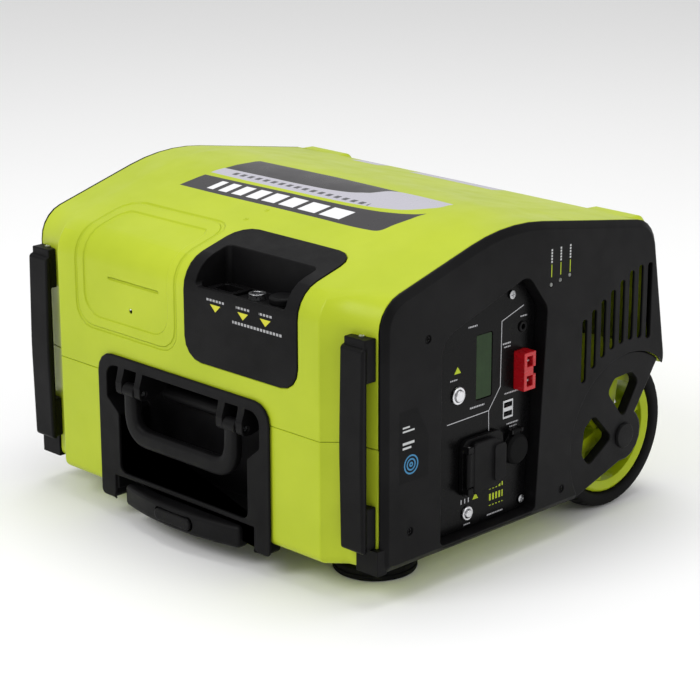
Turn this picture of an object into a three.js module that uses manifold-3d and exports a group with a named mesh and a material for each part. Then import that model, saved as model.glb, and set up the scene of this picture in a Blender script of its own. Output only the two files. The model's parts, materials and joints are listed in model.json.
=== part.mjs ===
// Wheeled portable power generator, lying on its wheels and front feet.
// Millimetres, +Z up. The trolley-handle end faces -Y, the control side faces +X and the wheels are at +Y.
// The body is drawn with y = 0 at the front edge of the side panels, then shifted so that the
// origin is the centre of the footprint, at ground level.
import * as THREE from "three";
import { mergeVertices } from "three/addons/utils/BufferGeometryUtils.js";
import Module from "manifold-3d";

const wasm = await Module();
wasm.setup();

// ---- Driving dimensions ----
const bodyWidth = 472; // between the seats of the two side panels
const bodyDepth = 401; // side outline, front edge to the lowest point of the leaning rear edge
const bodyHeight = 320.5; // ground to the crest of the side outline
const groundClearance = 30.5;
const wallThickness = 3;
const fitGap = 0.3; // between touching pieces
const panelStandOut = 7; // each side panel past the body
const panelBevel = 6.4;
const frontBulge = 23; // the middle of the front face ahead of the side panels
const crownRise = 7; // the middle of the top above the sides
const partingHeightShare = 0.462; // the seam between the shells, as a share of the height
const wheelRadius = 78.7;
const tyreWidth = 44;
const tyreDepth = 16;
const archClearance = 7;
const axleDiameter = 12;
const footRadius = 40;
const footHeight = 12;
const recessDepth = 16; // control recess, below the side panel's face
const fasciaThickness = 2.3;
const handlePanelWidth = 244;
const bezelStandOut = 3;
const carryHandleWidth = 162;
const carryHandleDrop = 54; // hinge axis to the underside of the hand bar
const carryHandleBar = 19;
const carryHandleArm = 17;
const trolleyGripWidth = 164;
const trolleyGripBow = 11;
const trolleyTubeSpacing = 132;
const trolleyTubeSize = 15.4;
const railWidth = 28;
const railThickness = 8;
const railGap = 6; // between a cord rail and the body
const chargingPanelWidth = 151;
const twinFieldInset = 13; // inside the outline of the panel that twins the charging panel
const twinFieldDepth = 1.4;
const humpWidth = 62;
const humpInset = 4;
const recessFoot = 7.5; // foot of the control recess above the underside of the body
const louvreCount = 8;
const spokeCount = 6;

// ---- Derived sizes ----
const halfBody = bodyWidth / 2;
const faceX = halfBody + panelStandOut;
const along = bodyDepth / 401; // layout proportion along the depth
const up = bodyHeight / 320.5; // layout proportion up the height
const partingZ = partingHeightShare * bodyHeight;
const shoulderZ = 279.4 * up;
const crestY = 164.7 * along;
const crestRadius = 220;
const rearTopY = bodyDepth - 22;
const rearTopZ = 290.7 * up;
const wheelY = bodyDepth - 59;
const archRadius = wheelRadius + archClearance;
const wheelOuterX = halfBody - 10;
const wheelInnerX = wheelOuterX - tyreWidth;
const wellInnerX = wheelInnerX - 9;
const footX = halfBody - 68;
const footY = 65 * along;
const handlePanelTop = 169 * up;
const hingeZ = handlePanelTop - 31;
const hingeY = -frontBulge - 1;
const chargingX = chargingPanelWidth / 2 + 6;
const recessFloorX = faceX - recessDepth;
const fasciaFaceX = recessFloorX + fitGap + fasciaThickness;
const tubeX = trolleyTubeSpacing / 2;
const tubeZ = groundClearance + 2.5;
const sleeveSize = trolleyTubeSize + 4.8;
const sleeveEndY = bodyDepth - 29;
const gripBackY = -16;
const gripFrontY = -frontBulge - 5 - trolleyGripBow;
const buttonProud = 1.5;
const railX = halfBody - 15;
const recessFootZ = groundClearance + recessFoot;
const twinLineX0 = -chargingX - 26.5;
const twinLineX1 = -chargingX + 48.5;
const twinLineZ = 243 * up;
const depthMid = (wheelY + wheelRadius + gripFrontY - buttonProud) / 2;

// ---- Colours ----
const finish = (color, roughness, metalness = 0) => ({ color, roughness, metalness });
const lime = finish(0xc3d33c, 0.42);
const blackPlastic = finish(0x1c1b1d, 0.55);
const fasciaPlastic = finish(0x242225, 0.35);
const rubber = finish(0x161616, 0.85);
const steel = finish(0xa9abae, 0.35, 0.9);
const aluminium = finish(0xb9bcc0, 0.4, 0.85);
const redPlastic = finish(0xbe0b12, 0.4);
const greenGlass = finish(0x1f3418, 0.15);
const clearLens = finish(0xd9dee0, 0.2);
const cellWrap = finish(0x2b4f7a, 0.6);

// ---- Shape helpers ----
const axisFrame = {
  x: new THREE.Matrix4().makeBasis(
    new THREE.Vector3(0, 1, 0), new THREE.Vector3(0, 0, 1), new THREE.Vector3(1, 0, 0)),
  y: new THREE.Matrix4().makeBasis(
    new THREE.Vector3(1, 0, 0), new THREE.Vector3(0, 0, 1), new THREE.Vector3(0, -1, 0)),
  z: new THREE.Matrix4(),
};

// Turns a closed geometry into a solid: welds its vertices, drops collapsed triangles, faces it outwards.
function solid(geometry) {
  const bare = new THREE.BufferGeometry();
  bare.setAttribute("position", geometry.getAttribute("position"));
  bare.setIndex(geometry.index);
  const welded = mergeVertices(bare, 1e-4);
  const points = welded.getAttribute("position");
  const corner = (index) => new THREE.Vector3().fromBufferAttribute(points, index);
  const triangles = [];
  let volume = 0;
  for (let i = 0; i < welded.index.count; i += 3) {
    const [a, b, c] = [0, 1, 2].map((k) => welded.index.getX(i + k));
    if (a === b || b === c || c === a) continue;
    triangles.push([a, b, c]);
    volume += corner(a).dot(corner(b).cross(corner(c)));
  }
  const facing = volume < 0 ? triangles.map(([a, b, c]) => [a, c, b]) : triangles;
  const vertProperties = Float32Array.from(points.array);
  return new wasm.Manifold(
    new wasm.Mesh({ numProp: 3, vertProperties, triVerts: Uint32Array.from(facing.flat()) }));
}

const join = (...solids) => solids.reduce((whole, next) => whole.add(next));
const cut = (whole, ...tools) => tools.reduce((left, tool) => left.subtract(tool), whole);

// Closed loop of points through [u, v, radius] corners, each corner rounded by its own radius.
function rounded(corners, arcSteps = 4) {
  return corners.flatMap(([u, v, radius = 0], index) => {
    const here = new THREE.Vector2(u, v);
    if (!radius) return [here];
    const before = corners.at(index - 1);
    const after = corners[(index + 1) % corners.length];
    const toBefore = new THREE.Vector2(before[0] - u, before[1] - v).normalize();
    const toAfter = new THREE.Vector2(after[0] - u, after[1] - v).normalize();
    const half = Math.acos(THREE.MathUtils.clamp(toBefore.dot(toAfter), -1, 1)) / 2;
    const bisector = toBefore.clone().add(toAfter).normalize();
    const centre = here.clone().addScaledVector(bisector, radius / Math.sin(half));
    const start = here.clone().addScaledVector(toBefore, radius / Math.tan(half)).sub(centre);
    const sweep = -Math.sign(toBefore.cross(toAfter)) * (Math.PI - 2 * half);
    return Array.from({ length: arcSteps + 1 }, (_, k) =>
      start.clone().rotateAround(new THREE.Vector2(), (sweep * k) / arcSteps).add(centre));
  });
}

const rectangle = (u0, u1, v0, v1, radius = 0, arcSteps = 3) =>
  rounded([[u0, v0, radius], [u1, v0, radius], [u1, v1, radius], [u0, v1, radius]], arcSteps);

const circle = (u, v, radius, steps = 20) =>
  Array.from({ length: steps }, (_, k) => {
    const angle = (2 * Math.PI * k) / steps;
    return new THREE.Vector2(u + radius * Math.cos(angle), v + radius * Math.sin(angle));
  });

// Extrudes a loop drawn in (y, z), (x, z) or (x, y) along the x, y or z axis.
function prism(axis, loop, from, to, { bevel = 0, holes = [] } = {}) {
  const shape = new THREE.Shape(loop);
  shape.holes = holes.map((hole) => new THREE.Path(hole));
  const geometry = new THREE.ExtrudeGeometry(shape, {
    depth: to - from - 2 * bevel,
    bevelEnabled: bevel > 0,
    bevelThickness: bevel,
    bevelSize: bevel,
    bevelOffset: -bevel,
    bevelSegments: 1,
  });
  geometry.translate(0, 0, bevel + (axis === "y" ? -to : from));
  return solid(geometry.applyMatrix4(axisFrame[axis]));
}

const block = (x0, x1, y0, y1, z0, z1) => prism("z", rectangle(x0, x1, y0, y1), z0, z1);

const rod = (axis, u, v, radius, from, to, steps = 20) =>
  prism(axis, circle(u, v, radius, steps), from, to);

// Turns a profile of [radius, distance along the axis] points about an axis through a centre.
function turned(axis, centre, profile, steps = 24) {
  const points = profile.map(([radius, distance]) => new THREE.Vector2(radius, distance));
  const geometry = new THREE.LatheGeometry(points, steps);
  if (axis === "x") geometry.rotateZ(-Math.PI / 2);
  if (axis === "z") geometry.rotateX(Math.PI / 2);
  return solid(geometry.translate(...centre));
}

// Moves each point of a loop along its outward normal; a negative distance shrinks the loop.
function offset(loop, distance) {
  return loop.map((here, index) => {
    const before = here.clone().sub(loop.at(index - 1)).normalize();
    const after = loop[(index + 1) % loop.length].clone().sub(here).normalize();
    const normal = new THREE.Vector2(before.y + after.y, -before.x - after.x).normalize();
    const reach = distance / Math.max(0.5, normal.dot(new THREE.Vector2(before.y, -before.x)));
    return here.clone().addScaledVector(normal, reach);
  });
}

// Skins a row of loops in (y, z), one for each x, into a closed solid.
function loft(stations) {
  const count = stations[0].loop.length;
  const positions = stations.flatMap(({ x, loop }) => loop.flatMap((point) => [x, point.x, point.y]));
  const indices = [];
  for (let row = 0; row + 1 < stations.length; row += 1) {
    for (let k = 0; k < count; k += 1) {
      const next = (k + 1) % count;
      const [a, b] = [row * count + k, row * count + next];
      indices.push(a, b, b + count, a, b + count, a + count);
    }
  }
  const lastRow = (stations.length - 1) * count;
  for (const [a, b, c] of THREE.ShapeUtils.triangulateShape(stations[0].loop, [])) {
    indices.push(a, c, b);
  }
  for (const [a, b, c] of THREE.ShapeUtils.triangulateShape(stations.at(-1).loop, [])) {
    indices.push(lastRow + a, lastRow + b, lastRow + c);
  }
  const geometry = new THREE.BufferGeometry();
  geometry.setAttribute("position", new THREE.Float32BufferAttribute(positions, 3));
  geometry.setIndex(indices);
  return solid(geometry);
}

// ---- The assembly ----
const generator = new THREE.Group();
generator.name = "portable_generator";

// Adds one named piece; side -1 mirrors it to the -X side.
function addPart(name, body, { color, roughness, metalness }, side = 1) {
  const { numProp, vertProperties, triVerts } = body.getMesh();
  const positions = [];
  for (let i = 0; i < vertProperties.length; i += numProp) {
    const [x, y, z] = vertProperties.subarray(i, i + 3);
    positions.push(side * x, y, z);
  }
  const indices = Array.from(triVerts);
  const geometry = new THREE.BufferGeometry();
  geometry.setAttribute("position", new THREE.Float32BufferAttribute(positions, 3));
  geometry.setIndex(side > 0 ? indices : indices.reverse());
  const material = new THREE.MeshStandardMaterial({ color, roughness, metalness });
  const mesh = new THREE.Mesh(geometry.translate(0, -depthMid, 0), material);
  mesh.name = name;
  generator.add(mesh);
}

const sides = [["right", 1], ["left", -1]];

// ---- Body form ----
// Side outline at one station: how far the front stands forward and the crest stands up.
function bodyOutline(forward, rise) {
  return rounded([
    [bodyDepth - 12, groundClearance, 24],
    [bodyDepth + 2, 150 * up, 30],
    [rearTopY, rearTopZ, 33],
    [crestY, 326 * up + rise, crestRadius],
    [-forward, shoulderZ, 33],
    [-forward, groundClearance, 9],
  ], 5);
}

// The body from side to side, grown or shrunk; the ends can run past the side seats.
function bodyForm(growth, endX = halfBody) {
  const sections = [
    [endX, 0, 0],
    [halfBody - 36, 7, 1],
    [halfBody - 52, frontBulge - 1, crownRise - 2],
    [0, frontBulge, crownRise],
  ];
  const mirrored = sections.slice(0, -1).map(([x, ...rest]) => [-x, ...rest]);
  return loft([...mirrored, ...sections.reverse()].map(([x, forward, rise]) => ({
    x,
    loop: offset(bodyOutline(forward, rise), growth),
  })));
}

const bodyOuter = bodyForm(0);
const bodyInner = bodyForm(-wallThickness, halfBody + 20);
const sideOutline = bodyOutline(0, 0);

const bothSides = (make) => [make(1), make(-1)];
const sorted = (a, b) => [Math.min(a, b), Math.max(a, b)];
const slabX = (side, loop, near, far, options) =>
  prism("x", loop, side > 0 ? near : -far, side > 0 ? far : -near, options);
const rodX = (side, y, z, radius, near, far, steps) =>
  slabX(side, circle(y, z, radius, steps), near, far);

// ---- Panel footprints on the front and top of the body ----
const chargingTopY = 53 * along;
const chargingFootZ = 188 * up;
function cornerPanelPrism(side, growth) {
  const [x0, x1] = [side * chargingX - chargingPanelWidth / 2 - growth,
    side * chargingX + chargingPanelWidth / 2 + growth];
  const front = rounded([
    [x0, chargingFootZ - growth, 22], [x1, chargingFootZ - growth, 22], [x1, 400], [x0, 400]]);
  const plan = rounded([
    [x0, -80], [x1, -80], [x1, chargingTopY + growth, 22], [x0, chargingTopY + growth, 22]]);
  return prism("y", front, -80, 90).intersect(prism("z", plan, 100, 420));
}

const bezelLoop = (inset) => {
  const half = handlePanelWidth / 2 - inset;
  return rectangle(-half, half, 0, handlePanelTop - inset, 20 - inset);
};

// ---- Upper and lower shells ----
const belowParting = block(-faceX, faceX, -100, 500, 0, partingZ - fitGap / 2);
const aboveParting = block(-faceX, faceX, -100, 500, partingZ + fitGap / 2, 500);

// Liner of a wheel well: moulded on the lower shell and reaching up inside the upper one.
function wheelWell(side) {
  const drum = rodX(side, wheelY, wheelRadius, archRadius + wallThickness, wellInnerX - wallThickness,
    halfBody, 36);
  return join(
    drum.intersect(bodyOuter).intersect(belowParting),
    drum.intersect(bodyForm(-wallThickness - fitGap)));
}

// Corner block on the rear top, beside each wheel well.
function hump(side) {
  const loop = rounded([
    [wheelY - 14, 284 * up, 6], [wheelY + 2, 293.5 * up, 16], [rearTopY - 7, 295 * up, 10],
    [rearTopY + 2, 284 * up, 6], [rearTopY + 6, 240 * up, 6], [rearTopY, 200 * up, 6],
    [wheelY, 220 * up, 6]]);
  return slabX(side, loop, halfBody - humpInset - humpWidth, halfBody - humpInset, { bevel: 4 });
}

// Grooved outline of the panel that twins the charging panel, its shallow field, grip line and drain hole.
function twinPanelGroove() {
  const ring = cornerPanelPrism(-1, 0).subtract(cornerPanelPrism(-1, -3));
  return ring.intersect(bodyForm(1)).subtract(bodyForm(-1.2));
}

function twinPanelField() {
  const field = cornerPanelPrism(-1, -twinFieldInset)
    .intersect(block(-halfBody, 0, -80, chargingTopY - 18, 0, 400));
  return field.intersect(bodyForm(1)).subtract(bodyForm(-twinFieldDepth));
}

function twinPanelLine() {
  const line = prism("y", rectangle(twinLineX0, twinLineX1, twinLineZ - 1, twinLineZ + 1, 0.9, 2), -80, 40);
  return line.intersect(bodyForm(1)).subtract(bodyForm(-twinFieldDepth - 1));
}

const humps = bothSides(hump).map((piece) => piece.subtract(bodyInner));
const shell = join(bodyOuter.subtract(bodyInner), ...humps);
const wheelSpace = (growth) => bothSides((side) =>
  rodX(side, wheelY, wheelRadius, archRadius + growth, wellInnerX - growth, faceX + 10, 36));

addPart("upper_shell", cut(
  shell.intersect(aboveParting),
  ...wheelSpace(wallThickness + fitGap),
  cornerPanelPrism(1, fitGap),
  twinPanelGroove(),
  twinPanelField(),
  twinPanelLine(),
  rod("y", -chargingX + 6.5, 216 * up, 2.2, -80, 10, 12),
  prism("y", bezelLoop(4), -80, 0),
), lime);

function footBoss(side) {
  return rod("z", side * footX, footY, footRadius - 7, footHeight + fitGap, groundClearance + 2, 32);
}

// Room for the trolley sleeves under the floor of the body.
const sleeveSpaces = (frontY, rearY) => bothSides((side) => block(
  side * tubeX - sleeveSize / 2 - fitGap, side * tubeX + sleeveSize / 2 + fitGap,
  frontY, rearY, 0, tubeZ + sleeveSize / 2 + fitGap));

const toeDepth = 6;
const toeHeight = 24;
const railBlockZ = [groundClearance + toeHeight - 1.5, 209 * up]; // the lower block just clears the toe
const railBlockHeight = 42;
const toeWidth = 22;

addPart("lower_shell", cut(
  join(shell.intersect(belowParting), ...bothSides(footBoss), ...bothSides(wheelWell)),
  ...wheelSpace(0),
  rod("x", wheelY, wheelRadius, axleDiameter / 2 + 1, -halfBody, halfBody),
  prism("y", bezelLoop(4), -80, 0),
  block(-handlePanelWidth / 2 + 4, handlePanelWidth / 2 - 4, -80, 12, 0, tubeZ + 20),
  ...sleeveSpaces(0, sleeveEndY + fitGap),
  ...bothSides((side) => block(
    ...sorted(side * (halfBody - toeWidth - fitGap), side * faceX),
    -40, wallThickness + 4, 0, groundClearance + toeHeight + fitGap)),
), lime);

// ---- Side panels ----
const recessLoop = (inset) => offset(rounded([
  [206 * along, recessFootZ, 5], [218 * along, 236 * up, 16], [190 * along, 272 * up, 14],
  [74 * along, 234 * up, 22], [74 * along, recessFootZ, 5],
]), -inset);

function louvreSlots(side) {
  return Array.from({ length: louvreCount }, (_, k) => {
    const y = wheelY + (k - 5) * 14 + 1;
    const rise = Math.sqrt((archRadius + 13) ** 2 - (y - wheelY) ** 2);
    const top = (212 + Math.min(38, 0.5 * k * 14)) * up;
    return slabX(side, rectangle(y - 3.5, y + 3.5, wheelRadius + rise, top, 2, 1), halfBody, faceX + 5);
  });
}

function fanGrilleSlots(side) {
  const grilleRadius = 55;
  return Array.from({ length: 9 }, (_, k) => {
    const v = (k - 4) * 12;
    const half = Math.sqrt(grilleRadius ** 2 - v ** 2);
    return slabX(side, rectangle(fanY - half, fanY + half, fanZ + v - 3, fanZ + v + 3, 2.5, 1),
      recessFloorX - 10, faceX + 5);
  });
}

const fanY = 146 * along;
const fanZ = 140 * up;

function sidePanelBlank(side) {
  const plate = loft([[halfBody + fitGap, 0], [halfBody + 2, 0], [faceX - 2, -panelBevel + 3],
    [faceX, -panelBevel]].map(([x, growth]) => ({ x: side * x, loop: offset(sideOutline, growth) })));
  const lip = slabX(side, offset(sideOutline, -wallThickness - fitGap), halfBody - 12, halfBody + 1);
  const hollow = slabX(side, offset(sideOutline, -2 * wallThickness), halfBody - 20, faceX - wallThickness);
  const dish = slabX(side, recessLoop(-wallThickness), recessFloorX - wallThickness, faceX - 1);
  const toe = block(...sorted(side * (halfBody - toeWidth), side * (faceX - 2)),
    -toeDepth, wallThickness + 3, groundClearance, groundClearance + toeHeight);
  return cut(
    join(cut(join(plate, lip), hollow), dish.intersect(slabX(side, offset(sideOutline, -3), 0, faceX)),
      toe),
    slabX(side, recessLoop(0), recessFloorX, faceX + 5),
    rodX(side, wheelY, wheelRadius, archRadius, 0, faceX + 5, 36),
    rodX(side, wheelY, wheelRadius, archRadius + wallThickness + fitGap, 0, halfBody + fitGap, 36),
    ...louvreSlots(side),
  );
}

// Screw wells in the front band of a side panel and below the rear louvres.
const bandScrews = [[55.5 * along, 239.5 * up], [33.6 * along, 64.2 * up], [244 * along, 49 * up]];
const screwWells = (side) => bandScrews.map(([y, z]) => rodX(side, y, z, 4, faceX - 2, faceX + 5, 12));

const statusLedY = [222, 235, 248.5].map((y) => y * along);
const statusLedZ = (y) => (256.6 + 0.17 * (y / along - 222)) * up;
const ledRadius = 2;

// Devices on the control side, at their places on the fascia.
const lcd = { y: 145.3 * along, z: 192 * up, width: 21.5, height: 62 };
const displayButton = { y: 109.3 * along, z: 171.6 * up, radius: 9 };
const powerButton = { y: 123.4 * along, z: recessFootZ + 15.6, radius: 7.5 };
const acOutlet = { y: 139.7 * along, z: recessFootZ + 61.6, width: 56, height: 56 };
const carSocket = { y: 185.3 * along, z: 102.9 * up, radius: 15.5 };
const usb = { y: 179 * along, z: 142.5 * up, width: 14, height: 18 };
const powerConnector = { y: 195 * along, z: 178.5 * up, width: 16, height: 37 };
const dcPort = { y: 197.3 * along, z: 219 * up, radius: 5.5 };
const fasciaScrews = [[199 * along, recessFootZ + 10], [181 * along, 253 * up]];

const deviceOutline = ({ y, z, width, height }, clearance = 0, radius = 0, arcSteps = 3) => rectangle(
  y - width / 2 - clearance, y + width / 2 + clearance,
  z - height / 2 - clearance, z + height / 2 + clearance, radius, arcSteps);

const deviceHoles = (near, far, clearance) => [
  slabX(1, deviceOutline(lcd, clearance, 2, 2), near, far),
  ...[displayButton, powerButton, dcPort].map(({ y, z, radius }) =>
    rodX(1, y, z, radius - 1.5 + clearance, near, far)),
  rodX(1, acOutlet.y, acOutlet.z, 24 + clearance, near, far, 32),
  rodX(1, carSocket.y, carSocket.z, 13 + clearance, near, far),
  slabX(1, deviceOutline(usb, clearance), near, far),
  slabX(1, deviceOutline(powerConnector, clearance), near, far),
];

addPart("control_side_panel", cut(
  sidePanelBlank(1),
  ...deviceHoles(recessFloorX - 10, recessFloorX + 5, fitGap),
  ...screwWells(1),
  ...statusLedY.map((y) => rodX(1, y, statusLedZ(y), ledRadius + fitGap, halfBody, faceX + 5, 12)),
), blackPlastic);

addPart("fan_side_panel", cut(
  sidePanelBlank(-1), ...fanGrilleSlots(-1), ...screwWells(-1)), blackPlastic);

// ---- Control fascia and its devices ----
addPart("control_fascia", cut(
  slabX(1, recessLoop(1.2), recessFloorX + fitGap, fasciaFaceX),
  ...deviceHoles(recessFloorX - 10, fasciaFaceX + 5, fitGap),
  ...fasciaScrews.map(([y, z]) => rodX(1, y, z, 1.8, recessFloorX, fasciaFaceX + 5, 12)),
), fasciaPlastic);

fasciaScrews.forEach(([y, z], index) => {
  addPart(`fascia_screw_${index + 1}`, turned("x", [0, y, z], [
    [0, fasciaFaceX - 1.8], [1.5, fasciaFaceX - 1.8], [1.5, fasciaFaceX + fitGap],
    [4, fasciaFaceX + fitGap], [3.4, fasciaFaceX + 2.2], [0, fasciaFaceX + 2.6],
  ], 16), steel);
});

addPart("lcd_window",
  slabX(1, deviceOutline(lcd, 0, 2, 2), recessFloorX - 6, fasciaFaceX - 0.6), greenGlass);

// A round push button: its cap slides in a flanged bezel fixed in the fascia.
function pushButton(name, { y, z, radius }, capFinish) {
  const bezelTop = fasciaFaceX + fitGap + 2;
  const bore = radius - 3;
  addPart(`${name}_bezel`, turned("x", [0, y, z], [
    [bore, recessFloorX - 8], [radius - 1.5, recessFloorX - 8], [radius - 1.5, fasciaFaceX + fitGap],
    [radius, fasciaFaceX + fitGap], [radius - 0.8, bezelTop], [bore, bezelTop], [bore, recessFloorX - 8],
  ], 20), steel);
  addPart(name, turned("x", [0, y, z], [
    [0, recessFloorX - 4], [bore - fitGap, recessFloorX - 4], [bore - fitGap, bezelTop + 1.2],
    [bore - 1.2, bezelTop + 2], [0, bezelTop + 2],
  ], 20), capFinish);
}
pushButton("display_button", displayButton, steel);
pushButton("power_button", powerButton, aluminium);

// Mains outlet: a socket body in the fascia under a hinged splash lid.
const outletFrameX = fasciaFaceX + fitGap + 5;
const lidHingeY = acOutlet.y - acOutlet.width / 2 + 4;
const lidHingeX = outletFrameX + 3.5;
const lidHalf = acOutlet.width / 2 - 3;
addPart("ac_outlet", cut(
  join(
    slabX(1, deviceOutline(acOutlet, 0, 9), fasciaFaceX + fitGap, outletFrameX),
    rodX(1, acOutlet.y, acOutlet.z, 24, recessFloorX - 18, fasciaFaceX + 1, 32),
    ...[-1, 1].map((end) => slabX(1, rectangle(lidHingeY - 3.5, lidHingeY + 3.5,
      acOutlet.z + end * 20 - 3, acOutlet.z + end * 20 + 3), outletFrameX - 1, lidHingeX + 3.5)),
  ),
  rodX(1, acOutlet.y + 2, acOutlet.z, 19, fasciaFaceX - 8, outletFrameX + 1, 32),
  ...[[-7, 0, 3.2], [5, 7, 2.6], [5, -7, 2.6]].map(([dy, dz, half]) =>
    slabX(1, rectangle(acOutlet.y + 2 + dy - half, acOutlet.y + 2 + dy + half, acOutlet.z + dz - 1.6,
      acOutlet.z + dz + 1.6), recessFloorX - 12, fasciaFaceX)),
  rod("z", lidHingeX, lidHingeY, 1.6, acOutlet.z - 30, acOutlet.z + 30, 12),
), blackPlastic);

addPart("ac_outlet_lid", cut(
  join(
    slabX(1, rounded([
      [lidHingeY + 5, acOutlet.z - lidHalf, 5], [acOutlet.y + lidHalf, acOutlet.z - lidHalf, 20],
      [acOutlet.y + lidHalf, acOutlet.z + lidHalf, 20], [lidHingeY + 5, acOutlet.z + lidHalf, 5]], 6),
    outletFrameX + fitGap, outletFrameX + 6, { bevel: 1 }),
    slabX(1, rectangle(lidHingeY - 1, lidHingeY + 8, acOutlet.z - 16.5, acOutlet.z + 16.5),
      outletFrameX + 0.6, outletFrameX + 5.5),
    rod("z", lidHingeX, lidHingeY, 3, acOutlet.z - 16.5, acOutlet.z + 16.5, 16),
    slabX(1, rectangle(acOutlet.y + 8, acOutlet.y + lidHalf - 1, acOutlet.z - 18, acOutlet.z + 18, 4),
      outletFrameX + 3, outletFrameX + 8),
  ),
  rod("z", lidHingeX, lidHingeY, 1.6, acOutlet.z - 30, acOutlet.z + 30, 12),
), blackPlastic);

addPart("ac_lid_pin", rod("z", lidHingeX, lidHingeY, 1.3, acOutlet.z - 23, acOutlet.z + 23, 12), steel);

// Car-type 12 V socket with a domed rubber cap on a side hinge.
const carRimX = fasciaFaceX + fitGap + 3;
const capHingeZ = carSocket.z + carSocket.radius + 2.5;
const capHingeX = carRimX + 2.5;
addPart("dc12_socket", join(
  turned("x", [0, carSocket.y, carSocket.z], [
    [10.5, recessFloorX - 32], [13, recessFloorX - 32], [13, fasciaFaceX + fitGap],
    [carSocket.radius, fasciaFaceX + fitGap], [carSocket.radius, carRimX], [10.5, carRimX],
    [10.5, recessFloorX - 32],
  ], 24),
  rodX(1, carSocket.y, carSocket.z, 13, recessFloorX - 34, recessFloorX - 31.5, 24),
  prism("x", rectangle(carSocket.y - 8, carSocket.y + 8, carSocket.z + 12, capHingeZ + 2),
    fasciaFaceX + fitGap, carRimX),
  ...[-6.5, 6.5].map((shift) => block(carRimX - 1, capHingeX + 2,
    carSocket.y + shift - 1.5, carSocket.y + shift + 1.5, capHingeZ - 2, capHingeZ + 2)),
  rod("y", capHingeX, capHingeZ, 1.2, carSocket.y - 7, carSocket.y + 7, 12),
), fasciaPlastic);

addPart("dc12_cap", cut(
  join(
    turned("x", [0, carSocket.y, carSocket.z], [
      [0, carRimX + fitGap], [carSocket.radius - 0.5, carRimX + fitGap],
      [carSocket.radius - 0.5, carRimX + 4], [carSocket.radius - 3, carRimX + 6.5], [0, carRimX + 7.2],
    ]),
    rod("y", capHingeX, capHingeZ, 2.2, carSocket.y - 4.5, carSocket.y + 4.5, 12),
    block(carRimX + fitGap, carRimX + 3.6, carSocket.y - 4.5, carSocket.y + 4.5,
      carSocket.z + 10, capHingeZ),
  ),
  rod("y", capHingeX, capHingeZ, 1.5, carSocket.y - 9, carSocket.y + 9, 12),
), rubber);

addPart("usb_ports", cut(
  slabX(1, deviceOutline(usb), recessFloorX - 14, fasciaFaceX + 0.6),
  ...[-1, 1].map((end) => slabX(1, rectangle(usb.y - 5.8, usb.y + 5.8, usb.z + end * 4.4 - 2.3,
    usb.z + end * 4.4 + 2.3), recessFloorX - 11, fasciaFaceX + 5)),
), steel);

// Two-pole battery connector, with a slot at each end of the housing.
addPart("power_connector", cut(
  slabX(1, deviceOutline(powerConnector), recessFloorX - 18, faceX - 0.5),
  ...[-1, 1].map((end) => slabX(1, rectangle(powerConnector.y - 4, powerConnector.y + 4,
    powerConnector.z + end * 9.5 - 5, powerConnector.z + end * 9.5 + 5), faceX - 16, faceX + 5)),
  slabX(1, rectangle(powerConnector.y + 5, powerConnector.y + 20, powerConnector.z - 3.5,
    powerConnector.z + 3.5), faceX - 9, faceX + 5),
), redPlastic);

addPart("dc_port", turned("x", [0, dcPort.y, dcPort.z], [
  [0, recessFloorX - 10], [dcPort.radius - 1.5, recessFloorX - 10],
  [dcPort.radius - 1.5, fasciaFaceX + fitGap], [dcPort.radius, fasciaFaceX + fitGap],
  [dcPort.radius - 0.5, fasciaFaceX + 1.6],
  [2.6, fasciaFaceX + 1.6], [2.6, recessFloorX - 2], [0, recessFloorX - 2],
], 20), fasciaPlastic);

// Three light pipes rising from one bar behind the side panel.
const lightBarX = faceX - wallThickness - fitGap;
addPart("status_light_bar", join(
  slabX(1, rounded([
    [statusLedY[0] - 4, statusLedZ(statusLedY[0]) - 4], [statusLedY[2] + 4, statusLedZ(statusLedY[2]) - 4],
    [statusLedY[2] + 4, statusLedZ(statusLedY[2]) + 4], [statusLedY[0] - 4, statusLedZ(statusLedY[0]) + 4],
  ]), lightBarX - 3, lightBarX),
  ...statusLedY.map((y) => rodX(1, y, statusLedZ(y), ledRadius, lightBarX - 1, faceX, 12)),
), clearLens);

// ---- Handle panel on the front ----
const bezelFrontY = -frontBulge - bezelStandOut;
const bezelBackY = -frontBulge - fitGap;
const handleHalf = handlePanelWidth / 2;
const legWidth = 22;
const recessHalf = handleHalf - 13;
const recessStep = 17; // the recess is this much narrower on each side below its shoulder
const handleRecessFoot = tubeZ + 17;
const handleRecessTop = handlePanelTop - 11;
const shoulderFootZ = hingeZ - 28;
const shoulderTopZ = hingeZ - 14;
const cushionRadius = 8;
const cushionHalf = 56;
const handleRecessBackY = 14;
const legFootZ = groundClearance - 10;
const lugOffsets = [-12.6, 12.6];
const armX = carryHandleWidth / 2 - carryHandleArm / 2;

// Outline of the hand recess, wide at the hinges and stepped in below them.
function handRecessLoop(growth) {
  const low = recessHalf - recessStep;
  return offset(rounded([
    [-low, handleRecessFoot, 8], [low, handleRecessFoot, 8], [low, shoulderFootZ, 5],
    [recessHalf, shoulderTopZ, 5], [recessHalf, handleRecessTop, 12], [-recessHalf, handleRecessTop, 12],
    [-recessHalf, shoulderTopZ, 5], [-low, shoulderFootZ, 5],
  ]), growth);
}

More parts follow.
